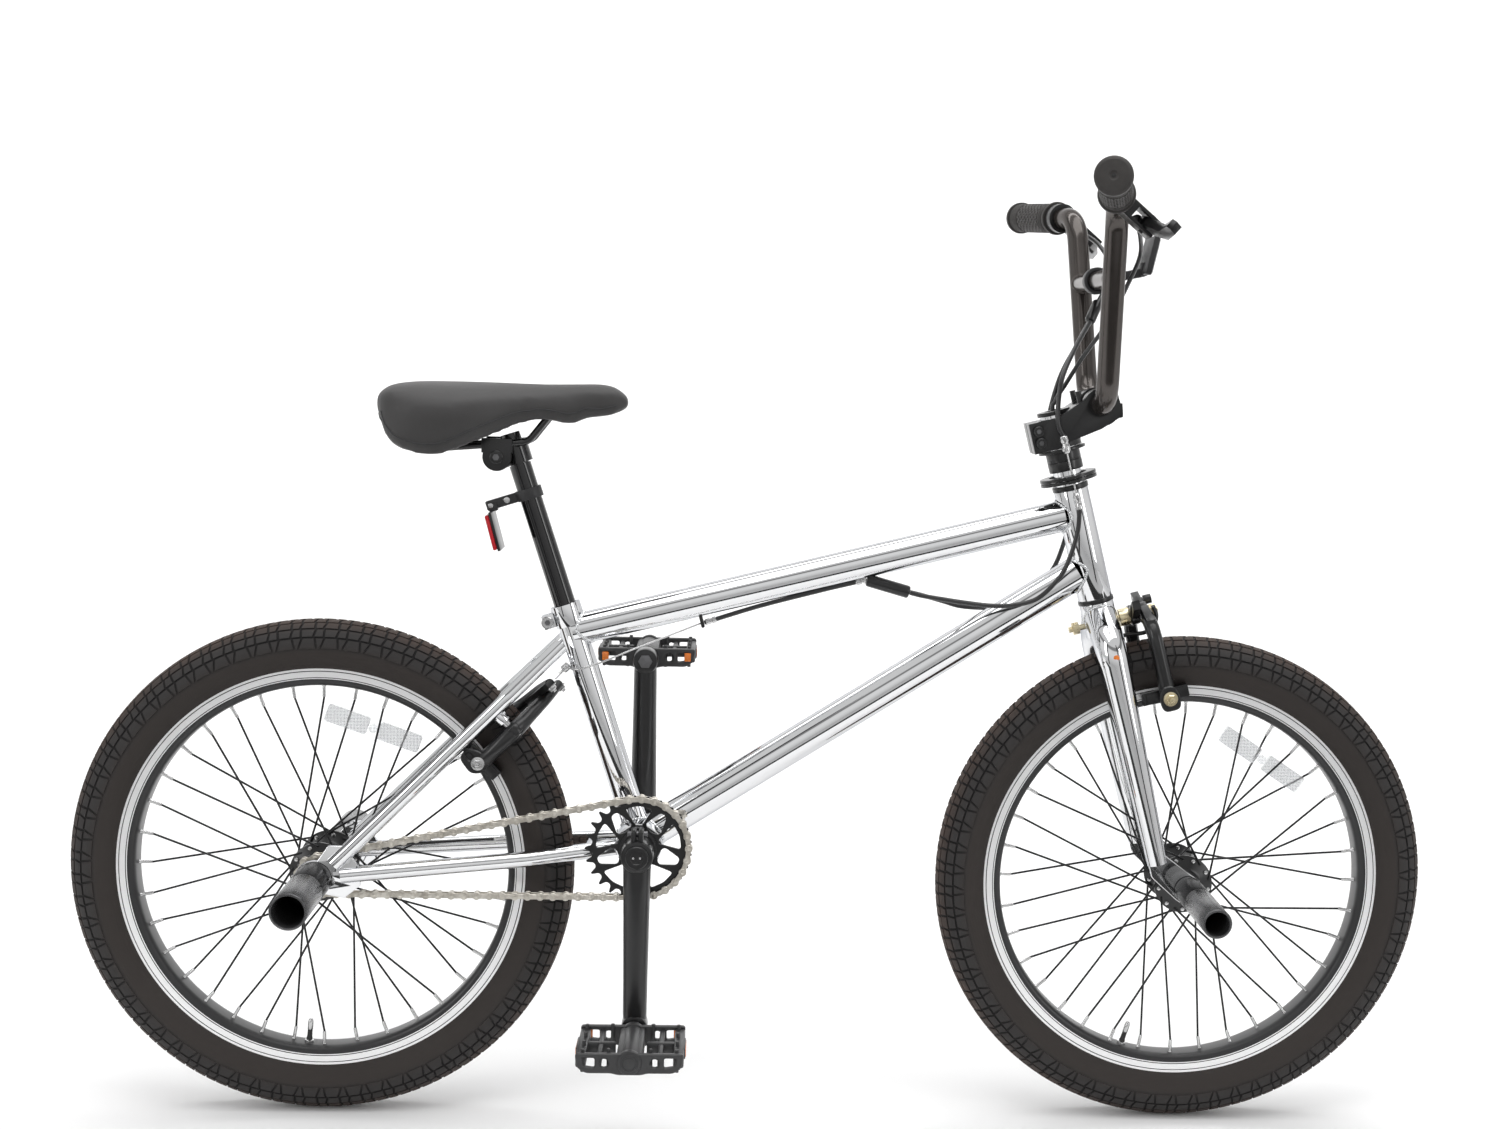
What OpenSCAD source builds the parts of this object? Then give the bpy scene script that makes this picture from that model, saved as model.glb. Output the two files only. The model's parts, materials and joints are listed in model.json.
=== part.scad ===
/* [Wheels] */
// Radius of the tyre tread
tyre_r = 254; // [245:1:260]
// Width of the tyre
tyre_w = 54; // [50:1:56]
// Radius of the rim flange
rim_r = 209; // [207:1:210]
// Distance between the two axles
wheelbase = 880; // [870:1:900]
// Spokes in each wheel, a multiple of four
spokes = 36; // [28:4:36]

/* [Frame] */
// Height of the bottom bracket above the ground
bb_z = 286.6; // [280:0.1:295]
// Backward lean of the seat tube in degrees
seat_lean = 18.3; // [17:0.1:20]
// Length of the seat tube above the bottom bracket
seat_tube_len = 254; // [245:1:260]
// Outer radius of the top tube
top_tube_r = 15.9; // [14:0.1:16]
// Outer radius of the down tube
down_tube_r = 17; // [15:0.1:17.2]
// Outer radius of the head tube
head_tube_r = 17.5; // [17:0.1:19]

/* [Steering] */
// Backward lean of the steering axis in degrees
head_lean = 15; // [14:0.1:16]
// Forward offset of the front axle from the steering axis
fork_offset = 20; // [18:1:24]
// Half of the handlebar's width
bar_half = 300; // [290:1:310]
// Outer radius of the handlebar tube
bar_r = 11.1; // [11:0.1:11.2]
// Height of the grips above the bar clamp
bar_rise = 202; // [190:1:215]

/* [Saddle] */
// Radius of the seat post
post_r = 11.1; // [10:0.1:11.1]
// Length of the saddle
saddle_len = 246; // [235:1:255]
// Width of the saddle at the back
saddle_w = 132; // [120:1:150]

/* [Drive] */
// Length of a crank arm between its two axes
crank_len = 175; // [165:1:178]
// Distance of the chain from the middle plane
chain_line = 43; // [42:0.5:44]

/* [Pegs] */
// Distance from the middle plane to the open end of a peg
peg_end = 187; // [170:1:195]
// Outer radius of a rear peg
rear_peg_r = 18; // [16:0.5:19]
// Outer radius of a front peg
front_peg_r = 14.5; // [14:0.5:18]

/* [Hidden] */
$fn = 48;

// Radial gap of a turning or sliding fit
fit = 0.05;

// Axles and the bottom bracket
rear_x = -wheelbase / 2;
front_x = wheelbase / 2;
axle_z = tyre_r;
pitch = 12.7;
chain_pitches = 68;
ring_teeth = 25;
cog_teeth = 9;
stay_len = 322.2;
bb_x = rear_x + sqrt(stay_len * stay_len - (bb_z - axle_z) * (bb_z - axle_z));
bb = [bb_x, 0, bb_z];

// Steering axis: its foot is the point nearest to the front axle
foot_x = front_x - fork_offset * cos(head_lean);
foot_z = axle_z - fork_offset * sin(head_lean);
head_low = 307;
head_high = 422;
steerer_r = 14.3;
steerer_low = 266;
steerer_high = 500;

// Frame tubes
seat_tube_r = 13.5;
tube_wall = 2;
shell_r = 23.5;
shell_bore_r = 20.5;
shell_half = 36.5;
stay_r = 8;
stay_lean = 45;
stay_y_low = 57.5;
dropout_in = 55;
dropout_t = 5;

// Axles and hubs
rear_axle_r = 7;
front_axle_r = 5;
rear_hub_half = 55;
front_hub_half = 50;
flange_y = 28;
flange_r = 30;
flange_t = 2.6;
spoke_r = 1.1;
spoke_circle_r = 26;

// Tyre and rim section
tyre_wall = 3.5;
cavity_r = 22;
cavity_mid = tyre_r - tyre_wall - cavity_r;
rim_half_w = 16.5;
rim_depth = 22;
bead_half_w = 13;

// Drive
spindle_r = 9.5;
ring_pitch_r = pitch / (2 * sin(180 / ring_teeth));
cog_pitch_r = pitch / (2 * sin(180 / cog_teeth));
arm_y = 72;
arm_r = 12;
pedal_in = 97;
pedal_out = 188;
pedal_pin_r = 6;

// Handlebar and stem, in the steering frame
clamp_x = 45;
clamp_s = 500;
clamp_half = 26;

// Brakes: the calliper works on the rim's flat side
rear_pivot_u = 243;
rear_pivot_y = 38;
front_pivot_s = 281;
pad_gap = 2.2;
bolt_r = 3;

// A point in the steering frame given as x forward, y left, s up the axis
function steer_pt(p) = [foot_x + p[0] * cos(head_lean) - p[2] * sin(head_lean), p[1],
    foot_z + p[0] * sin(head_lean) + p[2] * cos(head_lean)];
// A point in the frame of the seat stays: n forward and down, y left, u up the stays
function stay_pt(p) = [rear_x + p[0] * cos(stay_lean) + p[2] * sin(stay_lean), p[1],
    axle_z - p[0] * sin(stay_lean) + p[2] * cos(stay_lean)];
// A point on the seat tube's axis
function post_pt(t) = [bb_x - t * sin(seat_lean), 0, bb_z + t * cos(seat_lean)];
function unit(v) = v / norm(v);

module steer_frame() {
    translate([foot_x, 0, foot_z]) rotate([0, -head_lean, 0]) children();
}

module stay_frame() {
    translate([rear_x, 0, axle_z]) rotate([0, stay_lean, 0]) children();
}

module post_frame() {
    translate(bb) rotate([0, -seat_lean, 0]) children();
}

module both_sides() {
    children();
    mirror([0, 1, 0]) children();
}

// Cylinder between two points
module rod(p, q, r) {
    v = q - p;
    translate(p) rotate([0, acos(v[2] / norm(v)), atan2(v[1], v[0])]) cylinder(h = norm(v), r = r);
}

// Cylinder along Y from y0 to y1 at x and z
module cross_rod(x, z, y0, y1, r) {
    translate([x, y0, z]) rotate([-90, 0, 0]) cylinder(h = y1 - y0, r = r);
}

module tube(h, r, wall) {
    difference() {
        cylinder(h = h, r = r);
        translate([0, 0, -1]) cylinder(h = h + 2, r = r - wall);
    }
}

module pipe(p, q, r, wall) {
    v = q - p;
    translate(p) rotate([0, acos(v[2] / norm(v)), atan2(v[1], v[0])]) tube(norm(v), r, wall);
}

// Points of the arc that rounds corner b, n steps long
function arc_points(a, b, c, br, n) = let (u = unit(a - b), w = unit(c - b), open = acos(u * w),
        centre = b + unit(u + w) * br / sin(open / 2), e = unit(b + u * br / tan(open / 2) - centre))
    [for (k = [0 : n]) let (t = (180 - open) * k / n) centre + br * (e * cos(t) - u * sin(t))];

// A path whose inner corners are rounded to radius br
function rounded(pts, br, n = 8) = let (last = len(pts) - 1)
    [for (i = [0 : last]) each (i == 0 || i == last) ? [pts[i]]
        : arc_points(pts[i - 1], pts[i], pts[i + 1], br, n)];

// Ring of points round path point i, in a frame that never turns past ref
function ring(c, i, r, ref, sides) = let (m = len(c) - 1, t = unit(c[min(i + 1, m)] - c[max(i - 1, 0)]),
        a = unit(cross(t, ref)), b = cross(t, a))
    [for (k = [0 : sides - 1]) c[i] + r * (a * cos(360 * k / sides) + b * sin(360 * k / sides))];

// Solid swept along path c, its radius running from r0 to r1
module sweep(c, r0, r1, ref, sides = 24) {
    m = len(c) - 1;
    skin = [for (i = [0 : m - 1], k = [0 : sides - 1])
        [(i + 1) * sides + k, (i + 1) * sides + (k + 1) % sides, i * sides + (k + 1) % sides, i * sides + k]];
    caps = [[for (k = [0 : sides - 1]) k], [for (k = [sides - 1 : -1 : 0]) m * sides + k]];
    polyhedron([for (i = [0 : m]) each ring(c, i, r0 + (r1 - r0) * i / m, ref, sides)], concat(skin, caps));
}

// Hollow tube swept along path c
module swept_tube(c, r, wall, ref, sides = 24) {
    m = len(c) - 1;
    n = (m + 1) * sides;
    outer = [for (i = [0 : m - 1], k = [0 : sides - 1])
        [(i + 1) * sides + k, (i + 1) * sides + (k + 1) % sides, i * sides + (k + 1) % sides, i * sides + k]];
    inner = [for (f = outer) [n + f[3], n + f[2], n + f[1], n + f[0]]];
    ends = [for (k = [0 : sides - 1]) each [[k, (k + 1) % sides, n + (k + 1) % sides, n + k],
        [m * sides + k, n + m * sides + k, n + m * sides + (k + 1) % sides, m * sides + (k + 1) % sides]]];
    polyhedron([for (q = [r, r - wall], i = [0 : m]) each ring(c, i, q, ref, sides)], concat(outer, inner, ends));
}

// Smooth curve through route points
function spline(p, i, t) = let (a = p[max(i - 1, 0)], b = p[i], c = p[i + 1], d = p[min(i + 2, len(p) - 1)])
    0.5 * (2 * b + (c - a) * t + (2 * a - 5 * b + 4 * c - d) * t * t + (3 * b - a - 3 * c + d) * t * t * t);
function smooth(p, n) = [for (i = [0 : len(p) - 2], k = [0 : n - 1]) spline(p, i, k / n), p[len(p) - 1]];

// Cord along a route, with eight sides
module cord(route, r, ref, steps = 3) {
    sweep(smooth(route, steps), r, r, ref, 8);
}

// ---------- frame ----------

module head_tube() {
    color("gainsboro") steer_frame() translate([0, 0, head_low]) tube(head_high - head_low, head_tube_r, 1.6);
}

module head_solid() {
    steer_frame() translate([0, 0, head_low - 20]) cylinder(h = head_high - head_low + 40, r = head_tube_r);
}

module seat_solid() {
    post_frame() translate([0, 0, -10]) cylinder(h = seat_tube_len + 30, r = seat_tube_r);
}

module shell_solid() {
    cross_rod(bb_x, bb_z, -shell_half, shell_half, shell_r);
}

top_tube_ends = [post_pt(226), steer_pt([0, 0, 397])];
down_tube_ends = [bb + [2, 0, 2], steer_pt([0, 0, 341])];

module top_tube() {
    color("gainsboro") difference() {
        pipe(top_tube_ends[0], top_tube_ends[1], top_tube_r, tube_wall);
        head_solid();
        seat_solid();
    }
    color("black") translate([-60, 0, 511.5]) rotate([0, -15, 0]) difference() {
        translate([0, 0, 3]) cube([4, 10, 16], center = true);
        translate([-4, 0, 0]) rotate([0, 90, 0]) cylinder(h = 8, r = 1.2);
    }
}

module down_tube() {
    color("gainsboro") difference() {
        pipe(down_tube_ends[0], down_tube_ends[1], down_tube_r, tube_wall);
        head_solid();
        shell_solid();
    }
}

module seat_tube() {
    color("gainsboro") difference() {
        post_frame() tube(seat_tube_len, seat_tube_r, seat_tube_r - post_r - fit);
        shell_solid();
        post_frame() translate([-seat_tube_r, 0, seat_tube_len - 12]) cube([12, 2, 26], center = true);
    }
}

module bottom_bracket_shell() {
    color("gainsboro") difference() {
        shell_solid();
        cross_rod(bb_x, bb_z, -shell_half - 1, shell_half + 1, shell_bore_r);
    }
}

module chain_stays() {
    v = unit([rear_x, 0, axle_z] - bb);
    corners = [bb + v * 26 + [0, 22, -2], bb + v * 110 + [0, 41.5, -2], bb + v * 294 + [0, stay_y_low, 1]];
    color("gainsboro") {
        both_sides() swept_tube(rounded(corners, 60), stay_r, 1.4, [0, 0, 1]);
        difference() {
            rod(bb + v * 50 + [0, -31, -2], bb + v * 50 + [0, 31, -2], 6);
            both_sides() rod(corners[0], corners[1], stay_r + 0.05);
        }
    }
}

seat_stay_corners = [stay_pt([3, stay_y_low, 26]), stay_pt([3, 40, 262]), stay_pt([3, 23, 338])];

// The rear brake's posts stand on the front side of the stays
module seat_stays() {
    color("gainsboro") {
        both_sides() swept_tube(rounded(seat_stay_corners, 60), stay_r, 1.4, [0, 1, 0]);
        difference() {
            rod(stay_pt([3, -29, 296]), stay_pt([3, 29, 296]), 6.5);
            both_sides() rod(seat_stay_corners[1], seat_stay_corners[2], stay_r + 0.05);
        }
        both_sides() difference() {
            stay_frame() translate([5, rear_pivot_y, rear_pivot_u]) rotate([0, 90, 0]) {
                cylinder(h = 14, r = 7);
                cylinder(h = 35, r = 4);
            }
            rod(seat_stay_corners[0], seat_stay_corners[1], stay_r + 0.4);
        }
    }
}

module rear_dropouts() {
    color("gainsboro") both_sides() translate([rear_x, dropout_in + dropout_t, axle_z]) rotate([90, 0, 0])
        linear_extrude(dropout_t) difference() {
            union() {
                circle(19);
                polygon([[-16, -10], [30, -19], [46, -6], [44, 14], [28, 34], [14, 34]]);
            }
            circle(rear_axle_r + 0.3);
            translate([-40, -rear_axle_r - 0.3]) square([40, 2 * rear_axle_r + 0.6]);
        }
}

module headset_cups() {
    color("black") steer_frame() {
        translate([0, 0, head_low - 4]) tube(4, head_tube_r + 1, 18.5 - steerer_r - fit);
        translate([0, 0, head_high]) tube(5, head_tube_r + 1, 18.5 - steerer_r - fit);
        translate([0, 0, head_low]) tube(8, 15.9, 15.9 - steerer_r - fit);
        translate([0, 0, head_high - 8]) tube(8, 15.9, 15.9 - steerer_r - fit);
    }
}

module bottom_bracket_bearings() {
    color("dimgray") both_sides() difference() {
        cross_rod(bb_x, bb_z, shell_half - 10, shell_half + 1.5, shell_bore_r);
        cross_rod(bb_x, bb_z, 0, 60, spindle_r + fit);
    }
}

module seat_binder_bolt() {
    color("gainsboro") post_frame() {
        difference() {
            translate([0, 0, seat_tube_len - 22]) cylinder(h = 22, r = 15.3);
            translate([0, 0, seat_tube_len - 23]) cylinder(h = 24, r = seat_tube_r);
            translate([-15, 0, seat_tube_len - 12]) cube([14, 2, 30], center = true);
        }
        for (s = [-1, 1]) difference() {
            translate([-20, s * 5, seat_tube_len - 12]) cube([12, 7, 14], center = true);
            translate([0, 0, seat_tube_len - 23]) cylinder(h = 24, r = 15.3);
            translate([-21, -20, seat_tube_len - 12]) rotate([-90, 0, 0]) cylinder(h = 40, r = 3.2);
        }
        translate([-21, -10, seat_tube_len - 12]) rotate([-90, 0, 0]) cylinder(h = 20, r = 3);
        for (y = [-13, 8.5]) translate([-21, y, seat_tube_len - 12]) rotate([-90, 0, 0]) cylinder(h = 4.5, r = 5.2);
    }
}

// How far each axle reaches to either side of the middle plane
rear_axle_end = 84;
front_axle_end = 76;

module axle_set(x, r, half, end) {
    cross_rod(x, axle_z, -end, end, r);
    for (s = [-1, 1]) translate([x, s * (half + 5.5), axle_z]) rotate([s * -90, 0, 0]) children();
}

module axle_nut(r, out) {
    difference() {
        translate([0, 0, out]) cylinder(h = 9, r = r * 1.75, $fn = 6);
        cylinder(h = out + 20, r = r);
    }
}

module rear_axle() {
    color("black") axle_set(rear_x, rear_axle_r, rear_hub_half, rear_axle_end) axle_nut(rear_axle_r, 6.5);
}

// The bore of a peg starts just past the end of its axle; the pocket behind it holds the axle nut
module peg(x, r, base, bore, bore_from) {
    both_sides() difference() {
        cross_rod(x, axle_z, base, peg_end, r);
        cross_rod(x, axle_z, base + 6, bore_from + 1, r - 3.4);
        cross_rod(x, axle_z, bore_from, peg_end + 1, r - 3);
        cross_rod(x, axle_z, base - 1, base + 7, bore + 0.2);
    }
}

module rear_pegs() {
    color("dimgray") peg(rear_x, rear_peg_r, dropout_in + dropout_t + 0.5, rear_axle_r, rear_axle_end + 2);
}

// ---------- saddle and post ----------

post_low = 130;
post_high = 402;
clamp_pos = [-266, 0, 676];

module seat_post() {
    color("black") {
        difference() {
            post_frame() {
                translate([0, 0, post_low]) tube(post_high - post_low, post_r, 1.8);
                translate([0, 0, post_high]) tube(32, 9.6, 1.8);
            }
            cross_rod(clamp_pos[0], clamp_pos[2], -30, 30, 7);
        }
        difference() {
            union() {
                post_frame() translate([0, 0, 403]) cylinder(h = 20, r = 14);
                cross_rod(clamp_pos[0], clamp_pos[2], -10, 10, 12);
            }
            post_frame() translate([0, 0, 390]) cylinder(h = 60, r = 9.6);
            cross_rod(clamp_pos[0], clamp_pos[2], -30, 30, 4 + fit);
            both_sides() cross_rod(clamp_pos[0], clamp_pos[2], 10.2, 30, 9.4);
        }
    }
}

module saddle_clamp() {
    color("dimgray") {
        cross_rod(clamp_pos[0], clamp_pos[2], -32, 32, 4);
        both_sides() difference() {
            union() {
                cross_rod(clamp_pos[0], clamp_pos[2], 15.3, 29, 14);
                translate([clamp_pos[0], 22.1, clamp_pos[2] + 11]) cube([30, 13.6, 14], center = true);
            }
            cross_rod(clamp_pos[0], clamp_pos[2], 0, 40, 4);
            rod([-340, 22, 681.6], [-232, 22, 691.5], 3.5);
        }
        both_sides() difference() {
            cross_rod(clamp_pos[0], clamp_pos[2], 10.4, 15.3, 9);
            cross_rod(clamp_pos[0], clamp_pos[2], 0, 40, 4);
        }
        both_sides() difference() {
            cross_rod(clamp_pos[0], clamp_pos[2], 29, 33, 6.5);
            cross_rod(clamp_pos[0], clamp_pos[2], 0, 40, 4);
        }
    }
}

module saddle_rails() {
    route = [[-345, 26, 701], [-322, 22, 683.3], [-236, 22, 691.2], [-208, 16, 727]];
    color("dimgray") both_sides() sweep(rounded(route, 14), 3.5, 3.5, [0, 1, 0], 16);
}

module saddle() {
    nose_x = -141;
    color("dimgray") difference() {
        intersection() {
            translate([nose_x, saddle_w, 0]) rotate([90, 0, 0]) linear_extrude(2 * saddle_w)
                polygon([[0, 736], [-9, 745], [-24, 748], [-130, 746], [-228, 742], [-240, 738],
                    [1 - saddle_len, 726], [-236, 699], [-212, 683], [-180, 679], [-126, 701],
                    [-105, 711], [-72, 718], [-66, 716], [-32, 721], [-8, 726]]);
            translate([nose_x, 0, 600]) linear_extrude(200) {
                hull() {
                    translate([-saddle_len + 50, saddle_w / 2 - 50]) circle(50);
                    translate([-saddle_len + 50, 50 - saddle_w / 2]) circle(50);
                    translate([-140, 0]) circle(38);
                }
                hull() {
                    translate([-150, 0]) circle(42);
                    translate([-20, 0]) circle(20);
                }
            }
        }
        translate([-276, 0, 690]) cube([130, 64, 64], center = true);
    }
}

module rear_reflector() {
    band_t = 371;
    color("dimgray") post_frame() {
        difference() {
            translate([0, 0, band_t]) cylinder(h = 11, r = 13.4, center = true);
            translate([0, 0, band_t]) cylinder(h = 20, r = post_r, center = true);
        }
        difference() {
            translate([-28, 0, band_t]) cube([34, 7, 10], center = true);
            translate([0, 0, band_t]) cylinder(h = 20, r = 13.4, center = true);
        }
    }
    color("dimgray") translate([-268.5, 0, 601]) rotate([0, -15, 0]) cube([3, 44, 40], center = true);
    color("dimgray") translate([-272, 0, 624]) rotate([0, -15, 0]) cube([9, 9, 8], center = true);
    color("red") translate([-272, 0, 600]) rotate([0, -15, 0]) cube([4, 46, 36], center = true);
}

// ---------- steering ----------

module steerer_tube() {
    color("gainsboro") steer_frame() difference() {
        translate([0, 0, steerer_low]) tube(steerer_high - steerer_low, steerer_r, 2.3);
        translate([-30, 0, front_pivot_s]) rotate([0, 90, 0]) cylinder(h = 60, r = bolt_r);
    }
}

leg_end_y = 52.5;
leg_end = [-5, leg_end_y, 34];
leg_low_r = 10;

module fork_legs() {
    path = rounded([[0, 5, 289], [-2, 47, 262], leg_end], 34);
    core = rounded([[-2, 30, 273], [-2, 47, 262], leg_end - [0, 0, 4]], 33);
    color("gainsboro") steer_frame() difference() {
        union() {
            both_sides() {
                difference() {
                    sweep(path, 16.5, leg_low_r, [1, 0, 0]);
                    sweep(core, 13.4, leg_low_r - 2, [1, 0, 0]);
                }
                translate([0, leg_end_y + 2.5, 0]) rotate([90, 0, 0]) linear_extrude(5) fork_dropout();
            }
            translate([0, 0, 268]) cylinder(h = 35, r = head_tube_r);
        }
        translate([0, 0, 200]) cylinder(h = 200, r = steerer_r);
        translate([-60, 0, front_pivot_s]) rotate([0, 90, 0]) cylinder(h = 120, r = bolt_r);
    }
}

// Outline of a fork dropout, x forward and y up the steering axis
module fork_dropout() {
    difference() {
        union() {
            translate([fork_offset, 0]) circle(14);
            polygon([[-14, 42], [4, 42], [32, 6], [26, -12], [10, -12], [-14, 22]]);
        }
        translate([fork_offset, 0]) circle(front_axle_r + 0.3);
        translate([fork_offset - front_axle_r - 0.3, -30]) square([2 * front_axle_r + 0.6, 30]);
    }
}

module headset_spacers() {
    color("black") steer_frame() for (s = [[442, 10], [452, 10], [462, 3]]) translate([0, 0, s[0]])
        tube(s[1] - 0.2, s[1] > 5 ? 17.5 : 24, (s[1] > 5 ? 17.5 : 24) - steerer_r);
}

stem_low = 466;
stem_high = 497;

module stem() {
    color("black") steer_frame() difference() {
        union() {
            translate([0, 0, stem_low]) cylinder(h = stem_high - stem_low, r = 21);
            translate([-30, -20, stem_low]) cube([30, 40, stem_high - stem_low]);
            translate([clamp_x, clamp_half, clamp_s - 3]) rotate([90, 0, 0]) cylinder(h = 2 * clamp_half, r = 19);
            translate([0, clamp_half, 0]) rotate([90, 0, 0]) linear_extrude(2 * clamp_half)
                polygon([[0, stem_low + 4], [0, stem_high], [28, clamp_s + 8], [66, clamp_s - 4],
                    [64, clamp_s - 16], [40, clamp_s - 24]]);
        }
        translate([0, 0, stem_low - 1]) cylinder(h = 60, r = steerer_r);
        translate([clamp_x, 60, clamp_s]) rotate([90, 0, 0]) cylinder(h = 120, r = bar_r);
        translate([clamp_x - 11, 0, clamp_s + 16]) cube([80, 20, 22], center = true);
        translate([-25, 0, stem_low + 10]) cube([24, 2, 50], center = true);
        for (s = [10, 22]) translate([-22, -30, stem_low + s]) rotate([-90, 0, 0]) cylinder(h = 60, r = 3);
        for (x = [26, 62], y = [-18, 18]) translate([x, y, clamp_s - 30]) cylinder(h = 70, r = 3);
    }
}

module stem_bolts() {
    color("dimgray") steer_frame() {
        for (s = [10, 22]) {
            translate([-22, -20, stem_low + s]) rotate([-90, 0, 0]) cylinder(h = 40, r = 3);
            translate([-22, -25, stem_low + s]) rotate([-90, 0, 0]) cylinder(h = 5, r = 5);
        }
        translate([0, 0, steerer_high]) difference() {
            cylinder(h = 4, r = 17);
            translate([0, 0, -1]) cylinder(h = 6, r = 8.8);
        }
        for (x = [26, 62], y = [-18, 18]) translate([x, y, clamp_s - 18]) cylinder(h = 36, r = 3);
    }
}

// Corners of the right and left halves of the handlebar
bar_mid = steer_pt([clamp_x, 0, clamp_s]);
bar_top_z = bar_mid[2] + bar_rise - 10;
bar_corner_y = 122;
bar_low_corner = bar_mid + [0, 56, 0];
bar_top_corner = [bar_mid[0] - 9, bar_corner_y, bar_top_z];
bar_tip = [290, bar_half - 4, bar_mid[2] + bar_rise];
crossbar_at = bar_low_corner + 0.64 * (bar_top_corner - bar_low_corner);
grip_dir = unit(bar_tip - bar_top_corner);
grip_in = 178;

// Point on the straight grip part of the bar at a given y
function bar_at(y) = bar_top_corner + grip_dir * (y - bar_corner_y) / grip_dir[1];

module handlebar() {
    right = [bar_low_corner, bar_top_corner, bar_tip];
    left = [for (k = [2 : -1 : 0]) [right[k][0], -right[k][1], right[k][2]]];
    color("dimgray") {
        swept_tube(rounded(concat(left, right), 38), bar_r, 1.8, [1, 0, 0]);
        difference() {
            pipe([crossbar_at[0], -crossbar_at[1], crossbar_at[2]], crossbar_at, 9.5, 1.6);
            both_sides() rod(bar_low_corner, bar_top_corner, bar_r + 0.05);
        }
    }
}

module grips() {
    color("dimgray") both_sides() difference() {
        union() {
            rod(bar_at(grip_in), bar_at(bar_half), 16);
            rod(bar_at(grip_in), bar_at(grip_in + 5), 18);
            rod(bar_at(bar_half - 6), bar_at(bar_half), 17.5);
        }
        rod(bar_at(grip_in - 5), bar_tip, bar_r);
    }
}

// Frame of one brake lever: x towards the blade, y outwards, z along the pivot
lever_drop = 40;
lever_y = 165;
pivot_x = 38;

module lever_frame() {
    translate(bar_at(lever_y)) rotate([0, lever_drop, 0]) children();
}

module brake_lever_mounts() {
    color("black") both_sides() difference() {
        union() {
            rod(bar_at(lever_y - 3), bar_at(lever_y + 9), 15.5);
            lever_frame() {
                for (z = [5.4, -8.4]) translate([12, -16, z]) cube([36, 26, 3]);
                translate([11, -16, -8.4]) cube([10, 26, 16.8]);
                translate([pivot_x, 0, -10]) cylinder(h = 20, r = 2.5);
                translate([30, -14, -1]) rotate([90, 0, 0]) cylinder(h = 12, r = 5.4);
            }
        }
        rod(bar_at(lever_y - 30), bar_at(lever_y + 30), bar_r);
    }
}

module lever_blade() {
    color("black") lever_frame() translate([0, 0, -4.5]) difference() {
        linear_extrude(9) {
            translate([pivot_x, 0]) circle(7);
            polygon([[pivot_x - 8, -10], [pivot_x + 4, -12], [pivot_x + 12, 8], [58, 40], [54, 84],
                [47, 88], [43, 84], [46, 40], [pivot_x - 4, 8]]);
        }
        translate([pivot_x, 0, -1]) cylinder(h = 11, r = 2.5 + fit);
    }
}

module brake_lever_left() {
    lever_blade();
}

module brake_lever_right() {
    mirror([0, 1, 0]) lever_blade();
}

module front_reflector() {
    color("black") difference() {
        union() {
            cross_rod(crossbar_at[0], crossbar_at[2], -7, 7, 13.5);
            translate([crossbar_at[0] + 29, 0, crossbar_at[2] + 6]) rotate([0, -12, 0]) cube([40, 7, 9], center = true);
            translate([crossbar_at[0] + 51, 0, crossbar_at[2] + 26]) rotate([0, 12, 0]) cube([4, 50, 38], center = true);
            translate([crossbar_at[0] + 47, 0, crossbar_at[2] + 13]) cube([7, 12, 14], center = true);
        }
        cross_rod(crossbar_at[0], crossbar_at[2], -9, 9, 9.5);
    }
    color("white") translate([crossbar_at[0] + 55.2, 0, crossbar_at[2] + 25]) rotate([0, 12, 0])
        cube([4, 52, 35], center = true);
}

module front_axle() {
    color("black") axle_set(front_x, front_axle_r, front_hub_half, front_axle_end) axle_nut(front_axle_r, 6.5);
}

module front_pegs() {
    color("dimgray") peg(front_x, front_peg_r, front_hub_half + 5.5, front_axle_r, front_axle_end + 2);
}

// ---------- detangler ----------

module gyro_plate(s) {
    steer_frame() translate([0, 0, s]) difference() {
        union() {
            cylinder(h = 3, r = 29);
            for (y = [-1, 1]) translate([0, y * 28, 1.5]) cube([12, 14, 3], center = true);
        }
        translate([0, 0, -1]) cylinder(h = 5, r = 19.5);
        for (y = [-1, 1]) translate([0, y * 31, -1]) cylinder(h = 5, r = 1.2);
    }
}

module gyro_lower_plate() {
    color("black") gyro_plate(430);
}

module gyro_upper_plate() {
    color("black") gyro_plate(434.2);
}

// ---------- cables ----------

// End fitting of length h that carries on from the end of a route
module ferrule(route, h, r) {
    last = len(route) - 1;
    dir = unit(route[last] - route[last - 1]);
    rod(route[last] + 0.4 * dir, route[last] + (0.4 + h) * dir, r);
}

cable_r = 2.4;
wire_r = 0.8;
gyro_y = 31;
barrel_ends = [[150, 0, 547], [106, 0, 559]];

// Housing from the lower plate down the side of the head tube to the barrel, side is -1 on the right
function lower_route(side, drop) = [steer_pt([0, side * gyro_y, 403.6]), [315, side * 31, 614],
    [306, side * 30, 582], [295, side * 27, 563], [277, side * 26, 546 - drop], [255, side * 23, 539 - drop],
    [232, side * 16, 537 - drop], [204, side * 9, 539 - drop], [186, side * 5, 541 - drop / 2],
    [164, side * 2.9, 544], [150.6, side * 2.9, 547]];
wire_route = [[105.4, 0, 559], [86, 0, 554], [59, 0, 547], [-2, 0, 530], [-50, 0, 514.2]];
bare_route = [[-63, 0, 510.6], [-90, -8, 500], [-130, -19, 485], [-165, -22, 470], [-186, -20, 464],
    [-198, -8, 466], stay_pt([24, 0, 323])];

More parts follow.
